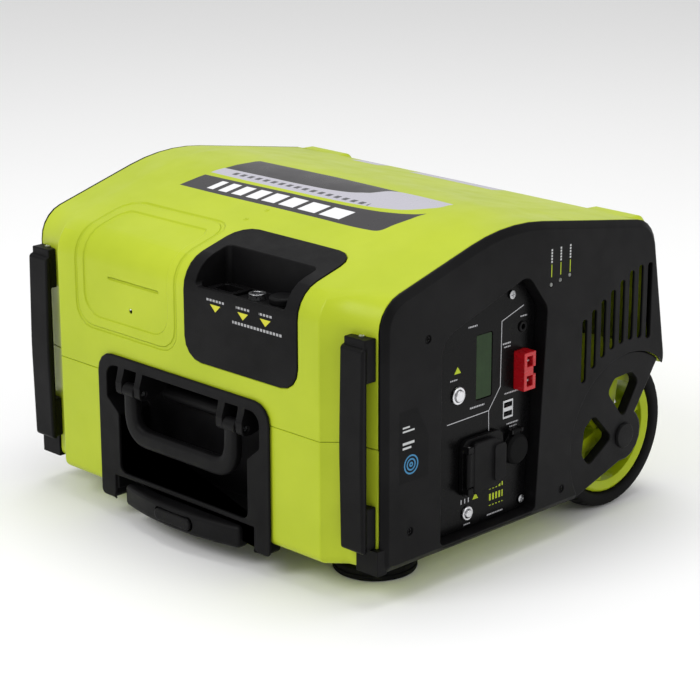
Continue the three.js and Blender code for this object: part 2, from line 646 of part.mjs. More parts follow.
function handlePanel() {
  const legHalf = handleHalf - legWidth;
  const bezel = prism("y", rounded([
    [-handleHalf, legFootZ, 6], [-legHalf, legFootZ, 6], [-legHalf, handleRecessFoot - 5],
    [legHalf, handleRecessFoot - 5], [legHalf, legFootZ, 6], [handleHalf, legFootZ, 6],
    [handleHalf, handlePanelTop, 20], [-handleHalf, handlePanelTop, 20],
  ]), bezelFrontY, bezelBackY, { bevel: 0.8 });
  const tray = prism("y", handRecessLoop(3), bezelFrontY + 1, handleRecessBackY + 2.5);
  const legs = bothSides((side) => prism("y",
    rectangle(...sorted(side * legHalf, side * (handleHalf - 4.5)), legFootZ, handleRecessFoot, 5),
    bezelFrontY + 1, -8));
  const lintel = block(-legHalf - 1, legHalf + 1, 5, 8, groundClearance, handleRecessFoot);
  const ribs = bothSides((side) => block(...sorted(side * (legHalf - 2), side * (legHalf + 1)),
    bezelBackY, 8, groundClearance, handleRecessFoot));
  const cushion = rod("x", handleRecessBackY - cushionRadius + 2, hingeZ - 5, cushionRadius,
    -cushionHalf, cushionHalf, 24);
  const lugs = bothSides((side) => lugOffsets.map((shift) => {
    const x = side * (armX + Math.sign(shift) * (carryHandleArm / 2 + 0.5));
    const outer = x + side * Math.sign(shift) * 9;
    return prism("x", rounded([[hingeY - 6, hingeZ - 7, 6], [hingeY + 7, hingeZ - 7, 4],
      [handleRecessBackY + 1, hingeZ + 2], [handleRecessBackY + 1, handleRecessTop + 1],
      [hingeY - 2, handleRecessTop + 1], [hingeY - 6, hingeZ + 6, 4]], 3), ...sorted(x, outer));
  })).flat();
  return cut(
    join(
      cut(join(bezel, tray), prism("y", handRecessLoop(0), bezelFrontY - 5, handleRecessBackY)),
      ...legs, lintel, ...ribs, ...lugs, cushion,
    ),
    ...sleeveSpaces(2, 12),
    rod("x", hingeY, hingeZ, 3.3, -recessHalf, recessHalf, 16),
  );
}
addPart("handle_panel", handlePanel(), blackPlastic);

// ---- Swinging carry handle ----
function carryHandle() {
  const half = carryHandleWidth / 2;
  const foot = hingeZ - carryHandleDrop;
  const inner = half - carryHandleArm;
  const loop = rounded([
    [-half, hingeZ + 7, 3], [-half, foot, 12], [half, foot, 12], [half, hingeZ + 7, 3],
    [inner, hingeZ + 7, 3], [inner, foot + carryHandleBar, 6], [-inner, foot + carryHandleBar, 6],
    [-inner, hingeZ + 7, 3]]);
  return cut(prism("y", loop, hingeY - 6, hingeY + 6, { bevel: 2 }),
    rod("x", hingeY, hingeZ, 3.3, -half - 1, half + 1, 16));
}
addPart("carry_handle", carryHandle(), blackPlastic);
for (const [name, side] of sides) {
  addPart(`carry_handle_pin_${name}`,
    rodX(1, hingeY, hingeZ, 3, armX - 15.5, armX + 15.5, 16), steel, side);
}

// ---- Trolley grip, its tubes, their sleeves and the release button ----
const gripHalf = trolleyGripWidth / 2;
const gripFootZ = groundClearance - 12;
const gripTopZ = gripFootZ + 22;
const releaseZ = (gripFootZ + gripTopZ) / 2;
function bowedFront() {
  const steps = 14;
  return Array.from({ length: steps + 1 }, (_, k) => {
    const share = (2 * k) / steps - 1;
    return new THREE.Vector2(share * gripHalf, gripFrontY + trolleyGripBow * share ** 2);
  });
}
const releaseLoop = (growth) => rectangle(-25.5 - growth, 25.5 + growth,
  releaseZ - 6 - growth, releaseZ + 6 + growth, 5.9 + growth, 6);
addPart("trolley_grip", cut(
  prism("z", [...bowedFront(), new THREE.Vector2(gripHalf, gripBackY),
    new THREE.Vector2(-gripHalf, gripBackY)], gripFootZ, gripTopZ, { bevel: 2.5 }),
  prism("y", releaseLoop(fitGap), gripFrontY - 5, gripFrontY + 10),
), blackPlastic);
addPart("trolley_release_button", prism("y", releaseLoop(0), gripFrontY - buttonProud, gripFrontY + 5,
  { bevel: 0.8 }), fasciaPlastic);

function squareTube(x, size, wall, from, to) {
  const half = size / 2;
  const bore = half - wall;
  return prism("y", rectangle(x - half, x + half, tubeZ - half, tubeZ + half, 0.7 * wall, 2), from, to,
    { holes: [rectangle(x - bore, x + bore, tubeZ - bore, tubeZ + bore)] });
}
for (const [name, side] of sides) {
  addPart(`trolley_tube_${name}`,
    squareTube(tubeX, trolleyTubeSize, 1.5, gripBackY + fitGap, sleeveEndY - 12), aluminium, side);
  addPart(`trolley_sleeve_${name}`, squareTube(tubeX, sleeveSize, 2, -6, sleeveEndY), blackPlastic, side);
}

// ---- Cord rails ----
const railFootZ = railBlockZ[0];
const railTopZ = railBlockZ[1] + railBlockHeight - 7;
const railBackY = -7 - railGap;
const railFrontY = railBackY - railThickness;
for (const [name, side] of sides) {
  const [x0, x1] = [railX - railWidth / 2, railX + railWidth / 2];
  const bow = 2;
  const plate = prism("x", rounded([
    [railBackY, railFootZ], [railBackY, railTopZ], [railFrontY + bow, railTopZ, 4],
    [railFrontY, (railFootZ + railTopZ) / 2, 900], [railFrontY + bow, railFootZ, 4],
  ]), x0, x1, { bevel: 1 });
  const blocks = railBlockZ.map((foot) =>
    block(x0 + 1, x1 - 1, railBackY - 2, 30, foot + 2, foot + railBlockHeight));
  addPart(`cord_rail_${name}`, join(plate, ...blocks).subtract(bodyForm(fitGap)), blackPlastic, side);
}

// ---- Charging panel over the front-top corner, with a pocket for the inlets ----
const pocketX0 = chargingX - 60;
const pocketX1 = chargingX + 60;
const pocketFloorZ = shoulderZ - 24;
const pocketBackY = 20 * along;
const inletY = 0;
const acInlet = { x: chargingX - 38, width: 28, depth: 21, flangeWidth: 36, flangeDepth: 28 };
const dcInlet = { x: chargingX, radius: 8 };
const capInlet = { x: chargingX + 34, radius: 13 };
const acInletOutline = (width, depth, radius = 0) => rectangle(
  acInlet.x - width / 2, acInlet.x + width / 2, inletY - depth / 2, inletY + depth / 2, radius);
const inletHoles = (clearance) => [
  prism("z", acInletOutline(acInlet.width + 2 * clearance, acInlet.depth + 2 * clearance),
    pocketFloorZ - 10, pocketFloorZ + 5),
  ...[dcInlet, capInlet].map(({ x, radius }) =>
    rod("z", x, inletY, radius - 2 + clearance, pocketFloorZ - 10, pocketFloorZ + 5)),
];
addPart("charging_panel", cut(
  join(
    bodyForm(1).subtract(bodyForm(-2.5)).intersect(cornerPanelPrism(1, 0)),
    block(pocketX0 - 2.5, pocketX1 + 2.5, -20, pocketBackY + 2.5, pocketFloorZ - 2.5, 400)
      .intersect(bodyForm(-1)),
  ),
  prism("z", rectangle(pocketX0, pocketX1, -17, pocketBackY, 6), pocketFloorZ, 400),
  prism("y", rounded([[pocketX0, pocketFloorZ + 5, 5], [pocketX1, pocketFloorZ + 5, 5], [pocketX1, 400],
    [pocketX0, 400]]), -80, 0),
  ...inletHoles(fitGap),
), blackPlastic);

addPart("charging_ac_inlet", cut(
  join(
    prism("z", acInletOutline(acInlet.width, acInlet.depth), pocketFloorZ - 20, pocketFloorZ + 1),
    prism("z", acInletOutline(acInlet.flangeWidth, acInlet.flangeDepth, 3), pocketFloorZ + fitGap,
      pocketFloorZ + 3),
  ),
  prism("z", acInletOutline(acInlet.width - 4, acInlet.depth - 5, 3), pocketFloorZ - 14, pocketFloorZ + 5),
), fasciaPlastic);

addPart("charging_dc_inlet", turned("z", [dcInlet.x, inletY, 0], [
  [0, pocketFloorZ - 16], [dcInlet.radius - 2, pocketFloorZ - 16],
  [dcInlet.radius - 2, pocketFloorZ + fitGap], [dcInlet.radius, pocketFloorZ + fitGap],
  [dcInlet.radius, pocketFloorZ + 6], [dcInlet.radius - 3.2, pocketFloorZ + 6],
  [dcInlet.radius - 3.2, pocketFloorZ - 4], [0, pocketFloorZ - 4],
], 24), steel);

addPart("charging_solar_inlet", turned("z", [capInlet.x, inletY, 0], [
  [0, pocketFloorZ - 16], [capInlet.radius - 2, pocketFloorZ - 16],
  [capInlet.radius - 2, pocketFloorZ + fitGap], [capInlet.radius, pocketFloorZ + fitGap],
  [capInlet.radius, pocketFloorZ + 3], [capInlet.radius - 3.5, pocketFloorZ + 3],
  [capInlet.radius - 3.5, pocketFloorZ + 7], [0, pocketFloorZ + 7],
], 24), fasciaPlastic);

addPart("charging_inlet_cap", turned("z", [capInlet.x, inletY, 0], [
  [0, pocketFloorZ + 7 + fitGap], [capInlet.radius - 3.2, pocketFloorZ + 7 + fitGap],
  [capInlet.radius - 3.2, pocketFloorZ + 3 + fitGap], [capInlet.radius, pocketFloorZ + 3 + fitGap],
  [capInlet.radius, pocketFloorZ + 8.5], [capInlet.radius - 1.5, pocketFloorZ + 10],
  [0, pocketFloorZ + 10.4],
], 28), blackPlastic);

// ---- Running gear ----
addPart("wheel_axle", rod("x", wheelY, wheelRadius, axleDiameter / 2, -faceX + 5, faceX - 5, 24), steel);
const wheelMid = (wheelOuterX + wheelInnerX) / 2;
const rimRadius = wheelRadius - tyreDepth;
const bracketOuterX = faceX - 3.5;
const bracketInnerX = wheelOuterX + 2.5;

function wheelRim() {
  const rimWall = 11;
  const ring = turned("x", [0, wheelY, wheelRadius], [
    [rimRadius - rimWall, wheelInnerX + 6], [rimRadius, wheelInnerX + 6], [rimRadius, wheelOuterX - 5],
    [rimRadius - 3, wheelOuterX - 3], [rimRadius - rimWall, wheelOuterX - 5],
    [rimRadius - rimWall, wheelInnerX + 6]], 36);
  const hub = rodX(1, wheelY, wheelRadius, 17, wheelInnerX + 2, wheelOuterX - 1, 24);
  const centre = new THREE.Vector2(wheelY, wheelRadius);
  const reach = rimRadius - rimWall + 2;
  const spoke = (index) => {
    const angle = (2 * Math.PI * index) / spokeCount + 0.3;
    const loop = [[12, -8], [reach, -6], [reach, 6], [12, 8]].map(([u, v]) =>
      new THREE.Vector2(wheelY + u, wheelRadius + v).rotateAround(centre, angle));
    return prism("x", loop, wheelMid - 2, wheelOuterX - 9);
  };
  return cut(join(ring, hub, ...Array.from({ length: spokeCount }, (_, k) => spoke(k))),
    rodX(1, wheelY, wheelRadius, axleDiameter / 2 + fitGap, 0, faceX, 24));
}

const tyreProfile = rounded([
  [rimRadius + fitGap, wheelInnerX + 3, 1], [wheelRadius - 3, wheelInnerX, 5],
  [wheelRadius, wheelMid - 6, 12], [wheelRadius, wheelMid + 6, 12],
  [wheelRadius - 3, wheelOuterX, 5], [rimRadius + fitGap, wheelOuterX - 3, 1],
], 1);

// Half-disc outboard carrier: a rim over the upper rear, three arms to the hub, two openings between them.
const carrierRadius = archRadius - 0.4;
const carrierStart = THREE.MathUtils.degToRad(53);
const carrierEnd = THREE.MathUtils.degToRad(214);
const polar = (radius, angle) =>
  new THREE.Vector2(wheelY + radius * Math.cos(angle), wheelRadius + radius * Math.sin(angle));
function wheelCarrier() {
  const arcSteps = 28;
  const rim = Array.from({ length: arcSteps + 1 }, (_, k) =>
    polar(carrierRadius, carrierStart + ((carrierEnd - carrierStart) * k) / arcSteps));
  const hubSide = [-1.75, -1.35, -1, -0.6, -0.25, 0.1, 0.4, 0.68, 0.86].map((angle) => polar(27, angle));
  const opening = (from, to) => {
    const middle = (from + to) / 2;
    const corners = [
      [18, middle, 5], [56, to, 7], [64, middle + 12, 7], [64, middle - 12, 7], [56, from, 7]];
    const loop = corners.map(([radius, angle, bend]) => {
      const { x, y } = polar(radius, THREE.MathUtils.degToRad(angle));
      return [x, y, bend];
    });
    return slabX(1, rounded(loop, 4), 0, faceX + 5);
  };
  return cut(
    slabX(1, [...rim, ...hubSide], bracketInnerX, bracketOuterX, { bevel: 1.2 }),
    opening(68, 118), opening(146, 200),
    rodX(1, wheelY, wheelRadius, axleDiameter / 2 + fitGap, 0, faceX + 5, 24),
  );
}

for (const [name, side] of sides) {
  addPart(`wheel_rim_${name}`, wheelRim(), lime, side);
  addPart(`tyre_${name}`, turned("x", [0, wheelY, wheelRadius],
    [...tyreProfile, tyreProfile[0]].map((point) => [point.x, point.y]), 40), rubber, side);
  addPart(`wheel_carrier_${name}`, wheelCarrier(), blackPlastic, side);
  addPart(`axle_cap_${name}`, turned("x", [0, wheelY, wheelRadius], [
    [0, bracketOuterX + fitGap], [13, bracketOuterX + fitGap], [12, faceX - 0.6], [0, faceX - 0.2]], 24),
  blackPlastic, side);
  addPart(`front_foot_${name}`, turned("z", [footX, footY, 0], [
    [0, 0], [footRadius - 4, 0], [footRadius, 3], [footRadius, footHeight - 1],
    [footRadius - 1, footHeight], [0, footHeight]], 32), rubber, side);
}

// ---- Inside the body ----
const trayZ = tubeZ + sleeveSize / 2 + 4;
const trayFrontY = 22;
const trayRearY = wheelY - 22;
const trayHalf = wellInnerX - 14;
addPart("chassis_tray", cut(
  block(-trayHalf, trayHalf, trayFrontY, trayRearY, trayZ, trayZ + 14),
  block(-trayHalf + 2, trayHalf - 2, trayFrontY + 2, trayRearY - 2, trayZ + 2, trayZ + 20),
), aluminium);

const cargoZ = trayZ + 2 + fitGap;
const packTopZ = partingZ + 32;
addPart("battery_pack", join(
  prism("z", rectangle(-trayHalf + 8, 20, trayFrontY + 8, trayRearY - 10, 6),
    cargoZ, packTopZ, { bevel: 2 }),
  ...[-60, -30].map((x) => rod("z", x, trayFrontY + 30, 5, packTopZ - 1, packTopZ + 8, 16)),
), cellWrap);

const finCount = 9;
addPart("inverter_module", join(
  block(32, trayHalf - 10, trayFrontY + 8, trayRearY - 10, cargoZ, cargoZ + 55),
  ...Array.from({ length: finCount }, (_, k) => {
    const x = 36 + ((trayHalf - 50) * k) / (finCount - 1);
    return block(x - 1.2, x + 1.2, trayFrontY + 16, trayRearY - 18, cargoZ + 54, packTopZ);
  }),
), aluminium);

// Axial fan behind the slotted grille, blowing out through it.
const fanOuterX = recessFloorX - wallThickness - 4;
const fanHalf = 46;
const fanDepth = 25;
addPart("cooling_fan_frame", cut(
  slabX(-1, rectangle(fanY - fanHalf, fanY + fanHalf, fanZ - fanHalf, fanZ + fanHalf, 6),
    fanOuterX - fanDepth, fanOuterX),
  rodX(-1, fanY, fanZ, fanHalf - 4, fanOuterX - fanDepth + 3, fanOuterX + 1, 32),
  cut(rodX(-1, fanY, fanZ, fanHalf - 4, fanOuterX - fanDepth - 1, fanOuterX, 32),
    rodX(-1, fanY, fanZ, 17, fanOuterX - fanDepth - 2, fanOuterX + 1, 24),
    ...[[50, 3], [3, 50]].map(([halfY, halfZ]) => slabX(-1,
      rectangle(fanY - halfY, fanY + halfY, fanZ - halfZ, fanZ + halfZ),
      fanOuterX - fanDepth - 2, fanOuterX + 1))),
), blackPlastic);

const bladeCount = 7;
addPart("cooling_fan_rotor", join(
  rodX(-1, fanY, fanZ, 16, fanOuterX - fanDepth + 4, fanOuterX - 3, 24),
  ...Array.from({ length: bladeCount }, (_, k) => {
    const blade = new THREE.BoxGeometry(2, 27, 15);
    blade.applyMatrix4(new THREE.Matrix4().makeRotationY(0.55));
    blade.translate(0, 26, 0);
    blade.applyMatrix4(new THREE.Matrix4().makeRotationX((2 * Math.PI * k) / bladeCount));
    return solid(blade.translate(-fanOuterX + fanDepth / 2, fanY, fanZ));
  }),
), fasciaPlastic);

export default generator;
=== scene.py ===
"""Looks of the wheeled portable generator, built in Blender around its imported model.

Each sub-assembly is a class that holds its sizes, builds its meshes and dresses them with their finishes.
Places written in case millimetres count x from the middle of the case, y back from the front edge of the
side panels and z up from the ground.
"""
import json
import logging
import math
from dataclasses import dataclass, field
from enum import Enum
from typing import Callable, Optional, Sequence, Union

import bmesh
import bpy
import numpy as np
from mathutils import Matrix, Vector
from mathutils.bvhtree import BVHTree

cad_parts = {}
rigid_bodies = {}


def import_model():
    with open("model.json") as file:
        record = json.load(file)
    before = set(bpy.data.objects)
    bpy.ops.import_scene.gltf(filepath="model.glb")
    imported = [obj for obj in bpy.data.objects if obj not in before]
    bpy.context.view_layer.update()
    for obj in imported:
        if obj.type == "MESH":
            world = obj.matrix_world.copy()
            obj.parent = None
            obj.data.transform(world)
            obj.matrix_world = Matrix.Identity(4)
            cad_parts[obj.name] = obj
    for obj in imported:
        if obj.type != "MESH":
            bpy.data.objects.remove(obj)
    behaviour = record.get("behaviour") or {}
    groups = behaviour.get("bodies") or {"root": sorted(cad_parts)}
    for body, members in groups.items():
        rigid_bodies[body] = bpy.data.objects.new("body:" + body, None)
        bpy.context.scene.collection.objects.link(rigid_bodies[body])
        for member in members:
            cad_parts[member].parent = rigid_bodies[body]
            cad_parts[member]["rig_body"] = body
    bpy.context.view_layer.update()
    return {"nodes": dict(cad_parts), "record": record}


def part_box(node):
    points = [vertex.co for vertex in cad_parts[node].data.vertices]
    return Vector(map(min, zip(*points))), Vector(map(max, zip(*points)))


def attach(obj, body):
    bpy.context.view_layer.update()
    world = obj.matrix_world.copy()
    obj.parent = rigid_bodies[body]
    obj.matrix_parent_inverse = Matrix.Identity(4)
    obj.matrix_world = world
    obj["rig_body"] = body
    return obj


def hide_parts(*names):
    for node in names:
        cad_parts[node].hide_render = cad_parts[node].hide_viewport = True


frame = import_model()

log = logging.getLogger("generator")

Array = np.ndarray
Colour = tuple[float, float, float]
Value = Union["Signal", float]
MM = 0.001
ROOT_BODY = "generator_body"
TOE_REACH = 6 * MM  # the side panel's toe ahead of its front edge
CASE_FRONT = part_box("control_side_panel")[0].y + TOE_REACH
MERGE_DISTANCE = 2e-6
NODE_SLOTS = {part["node"]: part["material_slot"] for part in frame["record"]["subparts"]}
SMOOTH_ANGLE = math.radians(33)
CLOUD_SPAN = (0.3, 0.7)  # where most of a noise node's values lie


class Axis(Enum):
    """A direction of the frame, with the numbers of its own and its two cross directions."""

    X = (0, 1, 2)
    Y = (1, 2, 0)
    Z = (2, 0, 1)


class Side(Enum):
    """The two sides of the case."""

    RIGHT = 1
    LEFT = -1

    @property
    def word(self) -> str:
        """The name's ending for pieces on this side."""
        return self.name.lower()


def case_point(x: float, y: float, z: float) -> Vector:
    """The point of the frame, in metres, that lies at a place in case millimetres."""
    return Vector((x * MM, y * MM + CASE_FRONT, z * MM))


# ---- Surfaces ----


@dataclass
class Patch:
    """A surface of two parameters: a grid of points, closed round on itself where it says so."""

    points: Array
    round_rows: bool = False
    round_columns: bool = True

    def faces(self, first: int) -> Array:
        """Quads between neighbouring rows and columns.

        Args:
            first: number of the patch's first vertex in the whole mesh.

        Returns:
            An array of four vertex numbers for each face.
        """
        rows, columns = self.points.shape[:2]
        number = np.arange(rows * columns).reshape(rows, columns) + first
        if self.round_rows:
            number = np.vstack([number, number[:1]])
        if self.round_columns:
            number = np.hstack([number, number[:, :1]])
        corners = (number[:-1, :-1], number[1:, :-1], number[1:, 1:], number[:-1, 1:])
        return np.stack([corner.ravel() for corner in corners], axis=1)


def surface(name: str, patches: Sequence[Patch]) -> bpy.types.Object:
    """One object made of closed patches, with its doubles merged and its faces turned outwards.

    Args:
        name: the object's name.
        patches: the closed surfaces it is made of, in metres.

    Returns:
        The new object, at the origin, with its place in its mesh.
    """
    mesh = bpy.data.meshes.new(name)
    firsts = np.cumsum([0] + [patch.points.shape[0] * patch.points.shape[1] for patch in patches])
    points = np.vstack([patch.points.reshape(-1, 3) for patch in patches])
    faces = np.vstack([patch.faces(int(first)) for patch, first in zip(patches, firsts)])
    mesh.from_pydata(points.tolist(), [], faces.tolist())
    work = bmesh.new()
    work.from_mesh(mesh)
    bmesh.ops.remove_doubles(work, verts=work.verts, dist=MERGE_DISTANCE)
    bmesh.ops.recalc_face_normals(work, faces=work.faces)
    work.to_mesh(mesh)
    work.free()
    piece = bpy.data.objects.new(name, mesh)
    bpy.context.scene.collection.objects.link(piece)
    soften(mesh)
    return piece


def soften(mesh: bpy.types.Mesh, angle: float = SMOOTH_ANGLE) -> None:
    """Shades a mesh smooth except across edges that turn by more than the angle."""
    mesh.polygons.foreach_set("use_smooth", np.ones(len(mesh.polygons), dtype=bool))
    mesh.set_sharp_from_angle(angle=angle)
    mesh.update()


def placed(across: Array, beside: Array, along: Array, axis: Axis, centre: Vector) -> Array:
    """Points from their two cross coordinates and the one along the axis, moved to the centre."""
    points = np.zeros(np.broadcast(across, beside, along).shape + (3,))
    own, first, second = axis.value
    points[..., own] = along
    points[..., first] = across
    points[..., second] = beside
    return points + np.array(centre)


def lathed(profile: Sequence[tuple[float, float]], axis: Axis, centre: Vector, steps: int = 48,
           dent: Optional[Callable[[Array, Array], Array]] = None) -> Patch:
    """A profile of (radius, height) points turned round an axis.

    The point at angle a has the cross coordinates r cos a and r sin a and the profile's height. A dent
    function of radius and angle lowers the height.

    Args:
        profile: radius and height of each point, in metres, from pole to pole or round on itself.
        axis: the axis it turns round.
        centre: where radius and height are nought.
        steps: points round the turn.
        dent: how far the height sinks at a radius and an angle.

    Returns:
        The turned surface.
    """
    radius, height = (np.array(column)[:, None] for column in zip(*profile))
    angle = np.linspace(0, 2 * math.pi, steps, endpoint=False)[None, :]
    sunk = height - (dent(radius, angle) if dent else 0)
    return Patch(placed(radius * np.cos(angle), radius * np.sin(angle), sunk, axis, centre))


def rounded_loop(half_u: float, half_v: float, corner: float, steps: int = 5) -> Array:
    """A rectangle with round corners: each corner's centre plus an arc of its radius, corner by corner."""
    turn = np.linspace(0, math.pi / 2, steps + 1)
    quarter = np.arange(4)[:, None] * math.pi / 2 + turn[None, :]
    middle = np.array([[1, 1], [-1, 1], [-1, -1], [1, -1]])
    centre = middle * (np.array([half_u, half_v]) - corner)
    loop = centre[:, None, :] + corner * np.stack([np.cos(quarter), np.sin(quarter)], axis=-1)
    return loop.reshape(-1, 2)


def pillow(low: Vector, high: Vector, axis: Axis, corner: float, edge: float) -> Patch:
    """A block with round corners and softened ends.

    A rounded rectangle is carried along the axis. Near each end it shrinks by a quarter circle, and a last
    row at its middle closes it.

    Args:
        low: lowest corner.
        high: highest corner.
        axis: the direction the rectangle is carried along.
        corner: radius of its corners.
        edge: radius of the two end edges.

    Returns:
        The closed surface.
    """
    own, first, second = axis.value
    centre = (low + high) / 2
    half = (high - low) / 2
    turn = np.linspace(0, math.pi / 2, 4)
    heights = half[own] - edge + edge * np.sin(turn)
    insets = edge * (1 - np.cos(turn))
    rows = [(-h, inset) for h, inset in zip(heights[::-1], insets[::-1])] + list(zip(heights, insets))
    loops = [rounded_loop(half[first] - inset, half[second] - inset, max(corner - inset, edge * 0.05))
             for _, inset in rows]
    loops = [loops[0] * 1e-4] + loops + [loops[-1] * 1e-4]
    along = np.array([-half[own]] + [h for h, _ in rows] + [half[own]])[:, None]
    grid = np.array(loops)
    return Patch(placed(grid[..., 0], grid[..., 1], along, axis, centre))


def carried(path: Array, side: Array, sections: Array) -> Patch:
    """A section carried along a path, closed at both ends.

    Each section point (a, b) goes to the path's point plus a times the in-plane normal of the path plus
    b times the fixed side direction.

    Args:
        path: points of the centre line, in metres.
        side: unit vector across the plane in which the path bends.
        sections: one loop of (a, b) points for each point of the path.

    Returns:
        The closed surface.
    """
    heading = np.gradient(path, axis=0)
    heading /= np.linalg.norm(heading, axis=1)[:, None]
    normal = np.cross(heading, side)
    grid = (path[:, None, :] + sections[..., :1] * normal[:, None, :]
            + sections[..., 1:] * np.array(side)[None, None, :])
    ends = [np.repeat(row.mean(axis=0)[None, :], row.shape[0], axis=0)[None] for row in (grid[0], grid[-1])]
    return Patch(np.concatenate([ends[0], grid, ends[1]]))


def bent_path(corners: Array, radius: float, steps: int = 8, spacing: float = 0.006) -> Array:
    """A path through corner points with its bends rounded and its straights divided evenly.

    Each inner corner becomes a quadratic curve between the points that lie the radius before and after it.
    """
    points = [corners[0]]
    for before, here, after in zip(corners[:-2], corners[1:-1], corners[2:]):
        start = here + (before - here) / np.linalg.norm(before - here) * radius
        end = here + (after - here) / np.linalg.norm(after - here) * radius
        points += straight(points[-1], start, spacing)
        share = np.linspace(0, 1, steps + 1)[1:, None]
        points += list((1 - share) ** 2 * start + 2 * share * (1 - share) * here + share ** 2 * end)
    return np.array(points + straight(points[-1], corners[-1], spacing))


def straight(start: Array, end: Array, spacing: float) -> list[Array]:
    """Evenly spaced points from just after the start to the end."""
    count = max(1, round(float(np.linalg.norm(end - start)) / spacing))
    return list(start + (end - start) * (np.arange(1, count + 1) / count)[:, None])


def finished_copy(node: str, edge: float, segments: int = 2) -> bpy.types.Object:
    """A copy of a CAD node with welded corners, flat faces joined and its sharp edges rounded.

    Args:
        node: the CAD node.
        edge: radius of its softened edges, in metres; nought leaves them sharp.
        segments: faces across each softened edge.

    Returns:
        The object that stands for the node.
    """
    source = frame["nodes"][node].data
    points = np.empty(len(source.vertices) * 3, dtype=np.float32)
    source.vertices.foreach_get("co", points)
    corners = np.empty(len(source.loops), dtype=np.int32)
    source.loops.foreach_get("vertex_index", corners)
    mesh = bpy.data.meshes.new(f"{node}_finish")
    mesh.from_pydata(points.reshape(-1, 3).tolist(), [], corners.reshape(-1, 3).tolist())
    work = bmesh.new()
    work.from_mesh(mesh)
    bmesh.ops.remove_doubles(work, verts=work.verts, dist=MERGE_DISTANCE)
    bmesh.ops.dissolve_limit(work, angle_limit=math.radians(0.4), verts=work.verts, edges=work.edges)
    work.to_mesh(mesh)
    work.free()
    soften(mesh)
    piece = bpy.data.objects.new(f"{node}_finish", mesh)
    bpy.context.scene.collection.objects.link(piece)
    if edge:
        bevel = piece.modifiers.new("soft_edges", "BEVEL")
        bevel.width = edge
        bevel.segments = segments
        bevel.limit_method = "ANGLE"
        bevel.angle_limit = SMOOTH_ANGLE
        bevel.use_clamp_overlap = False
        bevel.miter_outer = "MITER_ARC" if segments > 2 else "MITER_SHARP"
    weighted = piece.modifiers.new("even_shading", "WEIGHTED_NORMAL")
    weighted.keep_sharp = True
    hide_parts(node)
    return piece


def landing(node: str, start: Vector, heading: Vector) -> tuple[Vector, Vector]:
    """Where a straight line first meets a CAD node.

    Args:
        node: the CAD node.
        start: where the line starts, outside the node.
        heading: its direction.

    Returns:
        The point and the surface's outward direction there.
    """
    source = frame["nodes"][node].data
    faces = [tuple(face.vertices) for face in source.polygons]
    tree = BVHTree.FromPolygons([vertex.co for vertex in source.vertices], faces)
    point, normal, _, _ = tree.ray_cast(start, heading.normalized())
    if point is None:
        raise ValueError(f"nothing of {node} lies that way")
    return point, normal if normal.dot(heading) < 0 else -normal


# ---- Materials ----


def operator(operation: str, swapped: bool = False) -> Callable[["Signal", Value], "Signal"]:
    """A method that joins a signal and another value with one Math operation.

    Args:
        operation: the Math node's operation.
        swapped: whether the other value comes first.

    Returns:
        The method.
    """
    def method(self: "Signal", other: Value) -> "Signal":
        """The operation's result."""
        first, second = (other, self) if swapped else (self, other)
        return self.maker.math(operation, first, second)
    return method


class Signal:
    """A number or vector that runs through a material's nodes; Python's operators add its Math nodes.

    The remainder is never below nought. The or of two masks covers where either does, as their greater,
    and their and where both do, as their lesser.
    """

    __add__ = operator("ADD")
    __radd__ = operator("ADD", swapped=True)
    __sub__ = operator("SUBTRACT")
    __rsub__ = operator("SUBTRACT", swapped=True)
    __mul__ = operator("MULTIPLY")
    __rmul__ = operator("MULTIPLY", swapped=True)
    __mod__ = operator("FLOORED_MODULO")
    __or__ = operator("MAXIMUM")
    __and__ = operator("MINIMUM")

    def __init__(self, maker: "Maker", socket: bpy.types.NodeSocket) -> None:
        """Wraps one output socket of the maker's material."""
        self.maker = maker
        self.socket = socket

    def __abs__(self) -> "Signal":
        """Its size without its sign."""
        return self.maker.math("ABSOLUTE", self)

    def above(self, edge: Value, blur: float = 0.25) -> "Signal":
        """A mask that is one where this is greater than the edge, with a step as wide as the blur."""
        return self.maker.math("MULTIPLY", (self - edge) * (1 / blur) + 0.5, 1.0, clamp=True)

    def below(self, edge: Value, blur: float = 0.25) -> "Signal":
        """A mask that is one where this is less than the edge."""
        return self.maker.math("MULTIPLY", (edge - self) * (1 / blur) + 0.5, 1.0, clamp=True)

    def within(self, low: Value, high: Value, blur: float = 0.25) -> "Signal":
        """A mask that is one between two limits."""
        return self.above(low, blur) & self.below(high, blur)


